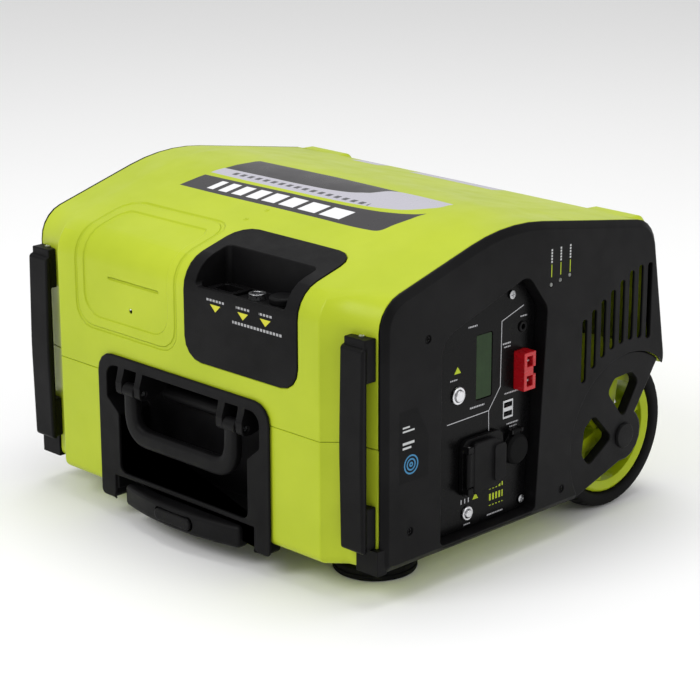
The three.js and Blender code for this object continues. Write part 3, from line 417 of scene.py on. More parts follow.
class Maker:
    """Builds one node material round a Principled shader."""

    def __init__(self, name: str, constants: dict[str, object]) -> None:
        """Starts a material.

        Args:
            name: the material's name.
            constants: the shader's values that are the same all over.
        """
        self.material = bpy.data.materials.new(name)
        self.material.use_nodes = True
        self.tree = self.material.node_tree
        self.tree.nodes.clear()
        self.shader = self.node("ShaderNodeBsdfPrincipled", {}, constants)
        self.node("ShaderNodeOutputMaterial", {}, {"Surface": self.out(self.shader, "BSDF")})

    def node(self, kind: str, settings: dict[str, object],
             inputs: dict[Union[str, int], object]) -> bpy.types.Node:
        """Adds one node: its settings first, then its sockets' values and links."""
        made = self.tree.nodes.new(kind)
        for name, value in settings.items():
            setattr(made, name, value)
        for name, value in inputs.items():
            if isinstance(value, Signal):
                self.tree.links.new(value.socket, made.inputs[name])
            else:
                made.inputs[name].default_value = value
        return made

    def out(self, made: bpy.types.Node, name: Union[str, int] = 0) -> Signal:
        """One output of a node."""
        return Signal(self, made.outputs[name])

    def math(self, operation: str, first: Value, second: Value = 0.0, clamp: bool = False) -> Signal:
        """One Math node."""
        settings = {"operation": operation, "use_clamp": clamp}
        return self.out(self.node("ShaderNodeMath", settings, {0: first, 1: second}))

    def place(self) -> Signal:
        """The point on the piece, in the piece's own coordinates, in metres."""
        return self.out(self.node("ShaderNodeTexCoord", {}, {}), "Object")

    def case_axes(self) -> tuple[Signal, Signal, Signal]:
        """The point's x, y and z in case millimetres."""
        parts = self.node("ShaderNodeSeparateXYZ", {}, {"Vector": self.place()})
        x, y, z = (self.out(parts, index) for index in range(3))
        return x * 1000, (y - CASE_FRONT) * 1000, z * 1000

    def stretched(self, scale: tuple[float, float, float]) -> Signal:
        """The piece's coordinates stretched by a factor for each axis."""
        settings: dict[str, object] = {"operation": "MULTIPLY"}
        return self.out(self.node("ShaderNodeVectorMath", settings, {0: self.place(), 1: scale}))

    def noise(self, scale: float, detail: float = 3, roughness: float = 0.55,
              place: Optional[Signal] = None) -> Signal:
        """Soft random clouds from nought to one."""
        inputs = {"Vector": place or self.place(), "Scale": scale, "Detail": detail, "Roughness": roughness}
        return self.out(self.node("ShaderNodeTexNoise", {}, inputs), "Fac")

    def cells(self, scale: float) -> Signal:
        """Distance to the nearest of scattered points, for moulded grain."""
        inputs = {"Vector": self.place(), "Scale": scale}
        return self.out(self.node("ShaderNodeTexVoronoi", {}, inputs), "Distance")

    def ranged(self, signal: Signal, low: float, high: float, to_low: float, to_high: float) -> Signal:
        """The signal carried from one range to another and held inside it."""
        inputs = {"Value": signal, "From Min": low, "From Max": high, "To Min": to_low, "To Max": to_high}
        return self.out(self.node("ShaderNodeMapRange", {"clamp": True}, inputs))

    def blend(self, share: Value, first: Union[Signal, Colour], second: Union[Signal, Colour]) -> Signal:
        """A mix of two colours."""
        made = self.node("ShaderNodeMix", {"data_type": "RGBA"}, {0: share})
        for socket, colour in zip((made.inputs[6], made.inputs[7]), (first, second)):
            if isinstance(colour, Signal):
                self.tree.links.new(colour.socket, socket)
            else:
                socket.default_value = (*colour, 1)
        return self.out(made, 2)

    def curve(self, signal: Signal, points: Sequence[tuple[float, float]]) -> Signal:
        """A line drawn through points: what it is at the signal's value.

        Both axes are brought to the range from nought to one for the curve node and back again.
        """
        xs, ys = zip(*points)
        low, high = min(ys) - 1, max(ys) + 1
        made = self.node("ShaderNodeFloatCurve", {}, {
            "Factor": 1.0, "Value": self.ranged(signal, xs[0], xs[-1], 0, 1)})
        line = made.mapping.curves[0]
        spots = [((x - xs[0]) / (xs[-1] - xs[0]), (y - low) / (high - low)) for x, y in points]
        line.points[0].location, line.points[1].location = spots[0], spots[-1]
        for spot in spots[1:-1]:
            line.points.new(*spot)
        made.mapping.update()
        return self.out(made) * (high - low) + low

    def stroke(self, u: Signal, v: Signal, points: Sequence[tuple[float, float]], width: float) -> Signal:
        """A mask along a broken line: where the distance to any of its stretches is under half the width.

        The distance to a stretch is that to the nearest point on it, which lies at the share
        ((p - a) . (b - a)) / |b - a|^2 of the way, held between nought and one.
        """
        masks = []
        for (u0, v0), (u1, v1) in zip(points[:-1], points[1:]):
            du, dv = u1 - u0, v1 - v0
            length = du * du + dv * dv
            along = (u - u0) * (du / length) + (v - v0) * (dv / length)
            share = self.math("MULTIPLY", along, 1.0, clamp=True)
            off_u, off_v = u - u0 - share * du, v - v0 - share * dv
            masks.append((off_u * off_u + off_v * off_v).below(width * width / 4, width * width / 6))
        return union(masks)

    def area(self, u: Signal, v: Signal, corners: Sequence[tuple[float, float]],
             blur: float = 0.3) -> Signal:
        """A mask over a convex shape whose corners run anticlockwise: it lies left of every side."""
        masks = []
        for (u0, v0), (u1, v1) in zip(corners, [*corners[1:], corners[0]]):
            length = math.hypot(u1 - u0, v1 - v0)
            side = (v - v0) * ((u1 - u0) / length) - (u - u0) * ((v1 - v0) / length)
            masks.append(side.above(0.0, blur))
        return overlap(masks)

    def bar(self, u: Signal, v: Signal, middle: tuple[float, float], size: tuple[float, float],
            slant: float = 0.0, blur: float = 0.3) -> Signal:
        """A mask over a rectangle, leaning by the slant in u for each unit of v."""
        leaning = u - middle[0] - (v - middle[1]) * slant if slant else u - middle[0]
        return abs(leaning).below(size[0] / 2, blur) & abs(v - middle[1]).below(size[1] / 2, blur)

    def clouded(self, cloud: Signal, low: float, high: float, first: Colour, second: Colour) -> Signal:
        """The first colour where a cloud is under its low level, the second above its high one."""
        return self.blend(self.ranged(cloud, low, high, 0, 1), first, second)

    def sheen(self, cloud: Signal, smooth: float, rough: float) -> None:
        """Lets the roughness run from smooth to rough as a cloud rises."""
        self.feed("Roughness", self.ranged(cloud, *CLOUD_SPAN, smooth, rough))

    def feed(self, name: str, signal: Signal) -> None:
        """Links a signal that varies to one of the shader's inputs."""
        self.tree.links.new(signal.socket, self.shader.inputs[name])

    def relief(self, height: Signal, depth: float, strength: float = 1.0) -> None:
        """Raises the surface's shading by a height signal; the depth is in metres."""
        inputs = {"Height": height, "Distance": depth, "Strength": strength}
        self.feed("Normal", self.out(self.node("ShaderNodeBump", {}, inputs), "Normal"))


def union(masks: Sequence[Signal]) -> Signal:
    """Where any of the masks covers."""
    whole = masks[0]
    for mask in masks[1:]:
        whole = whole | mask
    return whole


def overlap(masks: Sequence[Signal]) -> Signal:
    """Where all of the masks cover."""
    whole = masks[0]
    for mask in masks[1:]:
        whole = whole & mask
    return whole


@dataclass(frozen=True)
class ShellPlastic:
    """Satin lime moulding, with clouded colour, fine spark grain and, on the top, printed bands."""

    base: Colour = (0.47, 0.56, 0.026)
    shade: Colour = (0.40, 0.49, 0.018)
    charcoal: Colour = (0.042, 0.040, 0.043)
    silver: Colour = (0.47, 0.46, 0.52)
    white: Colour = (0.80, 0.80, 0.82)
    ink: Colour = (0.10, 0.10, 0.11)
    roughness: float = 0.36
    printed: bool = False
    name: str = "lime_shell"

    def make(self) -> bpy.types.Material:
        """Builds the material."""
        maker = Maker(self.name, {"Specular IOR Level": 0.22, "IOR": 1.49})
        cloud = maker.noise(9, 4)
        colour = maker.clouded(cloud, *CLOUD_SPAN, self.base, self.shade)
        grain = maker.cells(900)
        rough = maker.ranged(maker.noise(35, 5), *CLOUD_SPAN, self.roughness - 0.05, self.roughness + 0.07)
        if self.printed:
            colour, covered = self.bands(maker, colour)
            rough = rough - covered * 0.08
            grain = grain * (1 - covered * 0.85)
        maker.feed("Base Color", colour)
        maker.feed("Roughness", rough)
        maker.relief(grain * 0.5 + cloud * 0.5, 0.00012, 0.35)
        return maker.material

    def bands(self, maker: Maker, colour: Signal) -> tuple[Signal, Signal]:
        """Adds the printed bands of the top: two charcoal ones, a silver one and plain slanted blocks.

        Args:
            maker: the material under way.
            colour: the plastic's own colour.

        Returns:
            The colour with the print on it, and the mask of all print.
        """
        x, y, z = maker.case_axes()
        on_top = z.above(296, 1)
        front = maker.curve(x, [
            (-140, 94.5), (-60, 93), (60, 93), (132, 94.5), (139, 96), (146, 110), (157, 143.5)])
        rear = maker.curve(x, [
            (-140, 121), (-31, 121.2), (37, 122.2), (90, 124.6), (120, 128.5), (157, 144.5)])
        dark = y.above(front) & y.below(rear) & x.within(-140, 156.5)
        dark = dark & (x - (y - 94.6) * 0.32).above(-133.2)
        silver_front = maker.curve(x, [
            (-140, 128), (-36, 126.2), (32, 127), (85, 130), (114, 134.5), (140, 147), (156, 181)])
        silver_rear = maker.curve(x, [
            (-140, 142), (-54, 142.5), (-7, 142.8), (35, 146.5), (67, 158.5), (90, 181.5), (156, 181.5)])
        silver = y.above(silver_front) & y.below(silver_rear) & x.below(156)
        silver = silver & (x - (y - 130.7) * 0.32).above(-122.7)
        upper = y.above(silver_rear) & y.below(181.3) & (x - (y - 144.2) * 0.25).above(-118)
        block_places = (-91, -73, -53, -31, -8, 17, 45, 76)
        block_widths = (9, 12, 14, 16, 18, 20, 23, 27)
        blocks = union([maker.bar(x, y, (at, 107.5), (width, 17), 0.3)
                        for at, width in zip(block_places, block_widths)])
        dash_steps = ((x - (y - 134.5) * 0.3) % 11).within(2.4, 8.6)
        dashes = dash_steps & y.within(131.7, 137.3) & x.within(-98, 92)
        tail = y.within(337, 371, 0.6) & (x.within(-136, -97, 0.6) | x.within(-50, 66, 0.6))
        tail = tail & z.above(286, 1)
        for mask, ink in ((dark, self.charcoal), (silver, self.silver), (upper, self.charcoal),
                          (blocks, self.white), (dashes, self.ink)):
            colour = maker.blend(mask & on_top, colour, ink)
        colour = maker.blend(tail, colour, self.silver)
        return colour, (((dark | silver) | upper) & on_top) | tail


@dataclass(frozen=True)
class GrainedPlastic:
    """Black moulding with a leathery fine grain and slightly uneven sheen."""

    base: Colour = (0.0032, 0.0031, 0.0034)
    worn: Colour = (0.0075, 0.0073, 0.0078)
    roughness: float = 0.42
    grain: float = 1500
    depth: float = 0.00016
    name: str = "grained_black"

    def begin(self) -> tuple[Maker, Signal]:
        """Builds everything but the colour's link.

        Returns:
            The material under way and its colour.
        """
        maker = Maker(self.name, {"Specular IOR Level": 0.09, "IOR": 1.5})
        cloud = maker.noise(14, 5)
        colour = maker.clouded(cloud, 0.35, 0.75, self.base, self.worn)
        maker.sheen(maker.noise(60, 4), self.roughness - 0.06, self.roughness + 0.08)
        maker.relief(maker.cells(self.grain) + maker.noise(420, 2) * 0.6, self.depth, 0.5)
        return maker, colour

    def make(self) -> bpy.types.Material:
        """Builds the material."""
        maker, colour = self.begin()
        maker.feed("Base Color", colour)
        return maker.material


@dataclass(frozen=True)
class LabelledPanel(GrainedPlastic):
    """The control side's black panel, with its label plate and the leader lines of its status lights."""

    plate: Colour = (0.0018, 0.0018, 0.0021)
    blue: Colour = (0.06, 0.23, 0.42)
    pale: Colour = (0.55, 0.56, 0.56)
    lime: Colour = (0.42, 0.52, 0.03)
    name: str = "labelled_black"

    def make(self) -> bpy.types.Material:
        """Builds the material, with rings, dashes and lines as plain marks."""
        maker, colour = self.begin()
        x, y, z = maker.case_axes()
        outside = x.above(238, 0.5)
        plate = maker.area(y, z, [(19, 112), (57, 112), (57, 150), (42, 180), (19, 180)]) & outside
        colour = maker.blend(plate, colour, self.plate)
        off_y, off_z = y - 34.5, z - 128
        radius = maker.math("SQRT", off_y * off_y + off_z * off_z)
        rings = (radius % 3.4).within(0.9, 2.4, 0.2) & radius.below(9.4)
        colour = maker.blend(rings & plate, colour, self.blue)
        lines = ((28, 164, 9, 1.6), (31, 160.4, 15, 1.6), (31, 149, 15, 2.4), (29, 144.6, 11, 2.0))
        words = union([maker.bar(y, z, (at, height), (width, thick), 0.0, 0.2)
                       for at, height, width, thick in lines])
        colour = maker.blend(words & outside, colour, self.pale)
        lights = (222, 235, 248.5)
        leaders = union([maker.bar(y, z, (at, 270), (1.1, 12), 0.0, 0.2) for at in lights])
        colour = maker.blend(leaders & outside, colour, self.lime)
        ticks = union([maker.bar(y, z, (at, 284), (2.0, 14), 0.0, 0.2) for at in lights])
        colour = maker.blend(ticks & (z % 2.8).within(0.4, 2.3, 0.2) & outside, colour, self.pale)
        maker.feed("Base Color", colour)
        return maker.material


@dataclass(frozen=True)
class PrintedFascia(GrainedPlastic):
    """Semi-gloss control fascia with outlined fields, arrows and plain dash marks."""

    base: Colour = (0.0018, 0.0018, 0.0019)
    worn: Colour = (0.0036, 0.0035, 0.0038)
    roughness: float = 0.24
    grain: float = 2600
    depth: float = 0.00005
    line: Colour = (0.50, 0.50, 0.52)
    lime: Colour = (0.45, 0.55, 0.03)
    name: str = "printed_fascia"

    def make(self) -> bpy.types.Material:
        """Builds the material; every mark is a plain line, dash or arrow."""
        maker, colour = self.begin()
        _, y, z = maker.case_axes()
        outlines = maker.stroke(y, z, [
            (198.8, 239.2), (168.7, 229.7), (168, 166.9), (152.3, 147), (95.9, 146.1)], 0.8)
        outlines = outlines | maker.stroke(y, z, [(152.3, 147), (153, 118.2)], 0.8)
        colour = maker.blend(outlines, colour, self.line)
        dashes = [(129, 233, 12, 1.5), (136, 155, 20, 1.6), (176, 207, 12, 1.5), (176.5, 203.6, 9, 1.2),
                  (189, 158, 14, 1.5), (186, 127.5, 16, 1.4), (187, 124, 10, 1.2), (178, 158, 8, 1.3),
                  (104, 187, 10, 1.3), (163, 43.5, 22, 1.4), (124, 42.5, 9, 1.2), (199, 229, 9, 1.3)]
        pale = union([maker.bar(y, z, (at, height), (width, thick), 0.0, 0.2)
                      for at, height, width, thick in dashes])
        colour = maker.blend(pale & (y % 2.3).within(0.35, 1.95, 0.2), colour, self.line)
        gauge = (y % 4.4).within(0.9, 3.3, 0.2) & (z % 11).within(2.2, 8.8, 0.2)
        gauge = gauge & y.within(153, 174) & z.within(52, 72)
        arrows = maker.area(y, z, [(104.5, 192.5), (113.5, 192.5), (109, 199)])
        arrows = arrows | maker.area(y, z, [(131.5, 64.5), (139.5, 64.5), (135.5, 70.5)])
        colour = maker.blend(gauge | arrows, colour, self.lime)
        ticks = union([maker.bar(y, z, (at, 66), (1.2, 4.5), 0.0, 0.2) for at in (116, 121, 126)])
        colour = maker.blend(ticks, colour, self.line)
        maker.feed("Base Color", colour)
        return maker.material


@dataclass(frozen=True)
class ArrowedPanel(GrainedPlastic):
    """The charging panel's black moulding with its three printed arrows and dash marks."""

    yellow: Colour = (0.62, 0.60, 0.05)
    pale: Colour = (0.38, 0.38, 0.39)
    name: str = "arrowed_black"

    def make(self) -> bpy.types.Material:
        """Builds the material."""
        maker, colour = self.begin()
        x, y, z = maker.case_axes()
        ahead = y.below(-14, 1)
        arrows = union([maker.area(x, z, [(at, 241.2), (at + 7, 247.8), (at - 7, 247.8)])
                        for at in (50.1, 87.2, 116.8)])
        colour = maker.blend(arrows & ahead, colour, self.yellow)
        rows = union([maker.bar(x, z, (at, 251.8), (width, 2.2), 0.0, 0.2)
                      for at, width in ((50.1, 24), (87.2, 18), (116.8, 17))])
        rows = rows | maker.bar(x, z, (106, 237), (66, 2.6), 0.0, 0.2)
        broken = (x % 4.2).within(0.6, 3.5, 0.2)
        colour = maker.blend(rows & broken & ahead, colour, self.pale)
        maker.feed("Base Color", colour)
        return maker.material


@dataclass(frozen=True)
class Rubber:
    """Matt rubber with a dusty, finely pitted surface."""

    base: Colour = (0.0036, 0.0036, 0.0038)
    dust: Colour = (0.011, 0.0107, 0.0103)
    roughness: float = 0.72
    name: str = "soft_rubber"

    def make(self) -> bpy.types.Material:
        """Builds the material."""
        maker = Maker(self.name, {"Specular IOR Level": 0.1, "IOR": 1.45})
        cloud = maker.noise(22, 6, 0.65)
        maker.feed("Base Color", maker.clouded(cloud, 0.42, 0.8, self.base, self.dust))
        maker.sheen(cloud, self.roughness - 0.08, self.roughness + 0.1)
        maker.relief(maker.noise(900, 3) + maker.noise(140, 2) * 0.5, 0.00025, 0.4)
        return maker.material


@dataclass(frozen=True)
class Metal:
    """Bare or plated metal, brushed along one direction, with a little tarnish."""

    base: Colour = (0.56, 0.57, 0.58)
    tarnish: Colour = (0.40, 0.40, 0.41)
    roughness: float = 0.3
    brush: tuple[float, float, float] = (1.0, 1.0, 1.0)
    name: str = "zinc_steel"

    def make(self) -> bpy.types.Material:
        """Builds the material."""
        maker = Maker(self.name, {"Metallic": 1.0})
        streaks = maker.noise(500, 4, 0.6, maker.stretched(self.brush))
        cloud = maker.noise(30, 4)
        stain = cloud * 0.6 + streaks * 0.4
        maker.feed("Base Color", maker.clouded(stain, 0.4, 0.7, self.base, self.tarnish))
        maker.sheen(streaks, self.roughness - 0.08, self.roughness + 0.1)
        maker.relief(streaks, 0.00004, 0.3)
        return maker.material


@dataclass(frozen=True)
class GlossPlastic:
    """Shiny moulded plastic with faint flow marks."""

    base: Colour = (0.52, 0.006, 0.012)
    shade: Colour = (0.40, 0.004, 0.008)
    roughness: float = 0.26
    name: str = "red_plastic"

    def make(self) -> bpy.types.Material:
        """Builds the material."""
        maker = Maker(self.name, {"Specular IOR Level": 0.5, "IOR": 1.5})
        flow = maker.noise(80, 4, 0.6, maker.stretched((1, 1, 3)))
        maker.feed("Base Color", maker.clouded(flow, 0.35, 0.7, self.base, self.shade))
        maker.sheen(flow, self.roughness - 0.05, self.roughness + 0.06)
        maker.relief(maker.cells(1800), 0.00006, 0.3)
        return maker.material


@dataclass(frozen=True)
class DisplayGlass:
    """The display: a dark masked border round a green-grey panel with faint bars that are off."""

    border: Colour = (0.008, 0.014, 0.006)
    panel: Colour = (0.016, 0.042, 0.010)
    bars: Colour = (0.010, 0.030, 0.006)
    middle: tuple[float, float] = (145.3, 192.0)
    half: tuple[float, float] = (10.2, 30.2)
    name: str = "display_glass"

    def make(self) -> bpy.types.Material:
        """Builds the material."""
        maker = Maker(self.name, {"Specular IOR Level": 0.12, "IOR": 1.5, "Coat Roughness": 0.05})
        _, y, z = maker.case_axes()
        inside = maker.bar(y, z, self.middle, (self.half[0] * 2, self.half[1] * 2), 0.0, 0.3)
        cloud = maker.noise(40, 3)
        panel = maker.clouded(cloud, *CLOUD_SPAN, self.panel, self.bars)
        faint = (z % 13.5).within(2.2, 11.5, 0.3) & (y % 5.6).within(1.0, 4.6, 0.3)
        panel = maker.blend(faint * 0.35, panel, self.bars)
        maker.feed("Base Color", maker.blend(inside, self.border, panel))
        maker.sheen(maker.noise(200, 3), 0.10, 0.2)
        maker.feed("Coat Weight", 0.04 + inside * 0.06)
        maker.relief(maker.noise(600, 2), 0.00001, 0.3)
        return maker.material


@dataclass(frozen=True)
class ClearLens:
    """Milky clear plastic of the light bar, tinted a little by what lies behind it."""

    base: Colour = (0.10, 0.105, 0.10)
    bright: Colour = (0.24, 0.25, 0.23)
    name: str = "clear_lens"

    def make(self) -> bpy.types.Material:
        """Builds the material."""
        maker = Maker(self.name, {"Specular IOR Level": 0.5, "IOR": 1.5})
        cloud = maker.noise(260, 3)
        maker.feed("Base Color", maker.clouded(cloud, 0.35, 0.65, self.base, self.bright))
        maker.sheen(cloud, 0.12, 0.24)
        maker.relief(cloud, 0.00003, 0.3)
        return maker.material


@dataclass(frozen=True)
class CellWrap:
    """Blue shrink wrap over the battery pack, wrinkled and banded where the cells lie under it."""

    base: Colour = (0.02, 0.075, 0.19)
    bright: Colour = (0.035, 0.11, 0.25)
    cell: float = 18.5
    name: str = "cell_wrap"

    def make(self) -> bpy.types.Material:
        """Builds the material."""
        maker = Maker(self.name, {"Specular IOR Level": 0.5, "IOR": 1.5})
        x, _, _ = maker.case_axes()
        across = (x % self.cell) - self.cell / 2
        wrinkles = maker.noise(70, 5, 0.6)
        maker.feed("Base Color", maker.clouded(wrinkles, *CLOUD_SPAN, self.base, self.bright))
        maker.sheen(wrinkles, 0.25, 0.4)
        maker.relief(wrinkles * 0.4 - across * across * (1 / self.cell ** 2), 0.002, 0.6)
        return maker.material


class FinishRack:
    """Every finish of the object, by the record's material slot, with the special ones by CAD node."""

    def __init__(self) -> None:
        """Builds the materials once."""
        fascia = GrainedPlastic(base=(0.0028, 0.0027, 0.0030), worn=(0.006, 0.0058, 0.0062),
                                roughness=0.27, grain=2600, depth=0.00005, name="fascia_black")
        self.by_slot = {
            "lime_plastic": ShellPlastic().make(),
            "black_plastic": GrainedPlastic().make(),
            "fascia_plastic": fascia.make(),
            "soft_rubber": Rubber().make(),
            "tyre_rubber": Rubber(base=(0.0032, 0.0032, 0.0034), roughness=0.62,
                                  name="tyre_rubber").make(),
            "zinc_steel": Metal().make(),
            "cap_chrome": Metal(base=(0.72, 0.72, 0.74), tarnish=(0.60, 0.60, 0.62), roughness=0.16,
                                name="cap_chrome").make(),
            "bare_aluminium": Metal(base=(0.62, 0.63, 0.65), tarnish=(0.50, 0.51, 0.52), roughness=0.34,
                                    brush=(1.0, 0.06, 1.0), name="bare_aluminium").make(),
            "red_plastic": GlossPlastic().make(),
            "display_lens": DisplayGlass().make(),
            "clear_lens": ClearLens().make(),
            "wrapped_cells": CellWrap().make(),
        }
        self.by_node = {
            "upper_shell": ShellPlastic(printed=True, name="lime_shell_printed").make(),
            "wheel_rim_right": ShellPlastic(base=(0.40, 0.49, 0.006), shade=(0.33, 0.41, 0.004),
                                            roughness=0.3, name="lime_rim").make(),
            "control_side_panel": LabelledPanel().make(),
            "control_fascia": PrintedFascia().make(),
            "charging_panel": ArrowedPanel().make(),
        }
        self.by_node["wheel_rim_left"] = self.by_node["wheel_rim_right"]

    def dress(self, piece: bpy.types.Object, slot: str, node: str = "") -> None:
        """Gives a piece the finish of its slot, or of the CAD node it stands for."""
        piece.data.materials.clear()
        piece.data.materials.append(self.by_node.get(node) or self.by_slot[slot])


# ---- Sub-assemblies ----


def body_of_node(node: str) -> str:
    """The CAD body a node belongs to."""
    return frame["nodes"][node]["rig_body"]


@dataclass
class SubAssembly:
    """A group of pieces: the CAD nodes it refines, with the radius of their softened edges in mm."""

    rack: FinishRack
    edges: dict[str, float] = field(default_factory=dict)

    def build(self) -> None:
        """Refines the nodes, then adds the group's own pieces."""
        for node, edge in self.edges.items():
            piece = finished_copy(node, edge * MM)
            self.rack.dress(piece, NODE_SLOTS[node], node)
            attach(piece, body_of_node(node))
            log.info("%s refined, edge %.1f mm", node, edge)
        self.details()

    def details(self) -> None:
        """Adds the pieces this group has beyond its CAD nodes; most groups override it."""

    def add(self, name: str, patches: Sequence[Patch], slot: str, body: str,
            *replaced: str) -> bpy.types.Object:
        """Makes a piece from its patches, dresses it and lets it ride on its body.

        Args:
            name: the piece's name.
            patches: its closed surfaces.
            slot: its material slot.
            body: the CAD body it moves with.
            *replaced: CAD nodes it stands for.

        Returns:
            The piece.
        """
        piece = surface(name, patches)
        self.rack.dress(piece, slot)
        if replaced:
            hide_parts(*replaced)
        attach(piece, body)
        log.info("%s made, %d faces", name, len(piece.data.polygons))
        return piece


@dataclass(frozen=True)
class ScrewHead:
    """A pan-head screw with a cross recess."""

    radius: float = 4.0 * MM
    height: float = 1.5 * MM
    slot_width: float = 0.9 * MM
    slot_length: float = 2.3 * MM
    slot_depth: float = 1.0 * MM

    def recess(self, radius: Array, angle: Array) -> Array:
        """Depth of the cross: full where a point lies within half the slot's width of either arm's line."""
        u, v = radius * np.cos(angle), radius * np.sin(angle)
        near = np.minimum(np.abs(u), np.abs(v))
        inside = np.clip((self.slot_width / 2 - near) / (0.15 * MM) + 0.5, 0, 1)
        ended = np.clip((self.slot_length - radius) / (0.4 * MM) + 0.5, 0, 1)
        return self.slot_depth * inside * ended * (radius < self.radius * 0.86)

    def patch(self, foot: Vector, outward: Vector) -> Patch:
        """The head standing on a surface.

        The dome's height falls with the square of the radius. It is turned round Z, then its Z is laid
        along the outward direction.

        Args:
            foot: the middle of its seat.
            outward: the seat's outward direction.

        Returns:
            The head as one closed surface.
        """
        shares = [0, 0.08, 0.16, 0.24, 0.34, 0.44, 0.54, 0.64, 0.76, 0.88, 0.97, 1.0]
        radii = self.radius * np.array(shares)
        heights = self.height * (1 - 0.35 * (radii / self.radius) ** 2)
        profile = [*zip(radii, heights), (self.radius, self.height * 0.35), (self.radius, 0.0), (0.0, 0.0)]
        patch = lathed(profile, Axis.Z, Vector(), 40, self.recess)
        patch.points[-2:, :, 2] = 0
        turn = outward.to_track_quat("Z", "Y").to_matrix()
        patch.points = patch.points @ np.array(turn).T + np.array(foot)
        return patch


@dataclass
class Case(SubAssembly):
    """The two lime shells and their screws."""

    screws: tuple[tuple[float, float], ...] = ((3, 86), (-3.5, 64.7))

    def details(self) -> None:
        """Adds the small screw plugs sunk in the top."""
        head = ScrewHead(radius=2.6 * MM, height=0.5 * MM, slot_width=0.7 * MM,
                         slot_length=1.5 * MM, slot_depth=0.4 * MM)
        for number, (x, y) in enumerate(self.screws, 1):
            foot, outward = landing("upper_shell", case_point(x, y, 360), Vector((0, 0, -1)))
            self.add(f"top_screw_{number}", [head.patch(foot, outward)], "lime_plastic", ROOT_BODY)


@dataclass
class SidePanels(SubAssembly):
    """The two black side panels and the screws down their wells."""

    wells: tuple[tuple[float, float], ...] = ((55.5, 239.5), (33.6, 64.2), (244.0, 49.0))

    def details(self) -> None:
        """Adds a screw at the bottom of each well, found by looking straight in from the side."""
        head = ScrewHead(radius=3.2 * MM)
        for side, node in ((Side.RIGHT, "control_side_panel"), (Side.LEFT, "fan_side_panel")):
            for number, (y, z) in enumerate(self.wells, 1):
                start = case_point(side.value * 300, y, z)
                foot, outward = landing(node, start, Vector((-side.value, 0, 0)))
                self.add(f"panel_screw_{side.word}_{number}", [head.patch(foot, outward)],
                         "fascia_plastic", ROOT_BODY)


@dataclass
class ControlRecess(SubAssembly):
    """The control fascia with its display, buttons, sockets and lights."""

    def details(self) -> None:
        """Adds screw heads, connector blades, USB tongues and the light lenses."""
        for node in ("fascia_screw_1", "fascia_screw_2"):
            low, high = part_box(node)
            seat = Vector((low.x + 2.9 * MM, (low.y + high.y) / 2, (low.z + high.z) / 2))
            head = ScrewHead(radius=(high.y - low.y) / 2, height=high.x - seat.x)
            stem_radius, stem_end = 1.6 * MM, seat.x + 0.1 * MM
            stem = lathed([(0, low.x), (stem_radius, low.x), (stem_radius, stem_end), (0, stem_end)],
                          Axis.X, Vector((0, seat.y, seat.z)), 16)
            self.add(f"{node}_head", [head.patch(seat, Vector((1, 0, 0))), stem],
                     "zinc_steel", ROOT_BODY, node)
        self.blades()
        self.tongues()
        self.lenses()

    def blades(self) -> None:
        """The silver blade in each half of the red connector."""
        low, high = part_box("power_connector")
        middle = (low.y + high.y) / 2
        patches = [pillow(Vector((high.x - 14 * MM, middle - 2.6 * MM, z * MM - 0.9 * MM)),
                          Vector((high.x - 3.4 * MM, middle + 2.6 * MM, z * MM + 0.9 * MM)),
                          Axis.X, 0.4 * MM, 0.3 * MM)
                   for z in (188.0, 169.0)]
        self.add("connector_blades", patches, "zinc_steel", ROOT_BODY)

    def tongues(self) -> None:
        """The tongue inside each USB port."""
        low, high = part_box("usb_ports")
        middle = (low.y + high.y) / 2
        patches = [pillow(Vector((high.x - 9 * MM, middle - 4.4 * MM, z * MM - 1.0 * MM)),
                          Vector((high.x - 1.2 * MM, middle + 4.4 * MM, z * MM + 0.2 * MM)),
                          Axis.X, 0.3 * MM, 0.2 * MM)
                   for z in (146.9, 138.1)]
        self.add("usb_tongues", patches, "fascia_plastic", ROOT_BODY)

    def lenses(self) -> None:
        """Three small domes over the status lights, in the line of the light bar."""
        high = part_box("status_light_bar")[1]
        patches = []
        for y, z in ((222.0, 256.6), (235.0, 258.8), (248.5, 261.1)):
            centre = case_point(0, y, z)
            centre.x = high.x - 0.9 * MM
            turn = np.linspace(0, math.pi / 2, 6)
            profile = [(0, -0.5 * MM), (1.7 * MM, -0.5 * MM),
                       *[(1.7 * MM * math.cos(a), 0.85 * MM * math.sin(a)) for a in turn[:-1]],
                       (0, 0.85 * MM)]
            patches.append(lathed(profile, Axis.X, centre, 24))
        self.add("status_light_lenses", patches, "cap_chrome", ROOT_BODY)


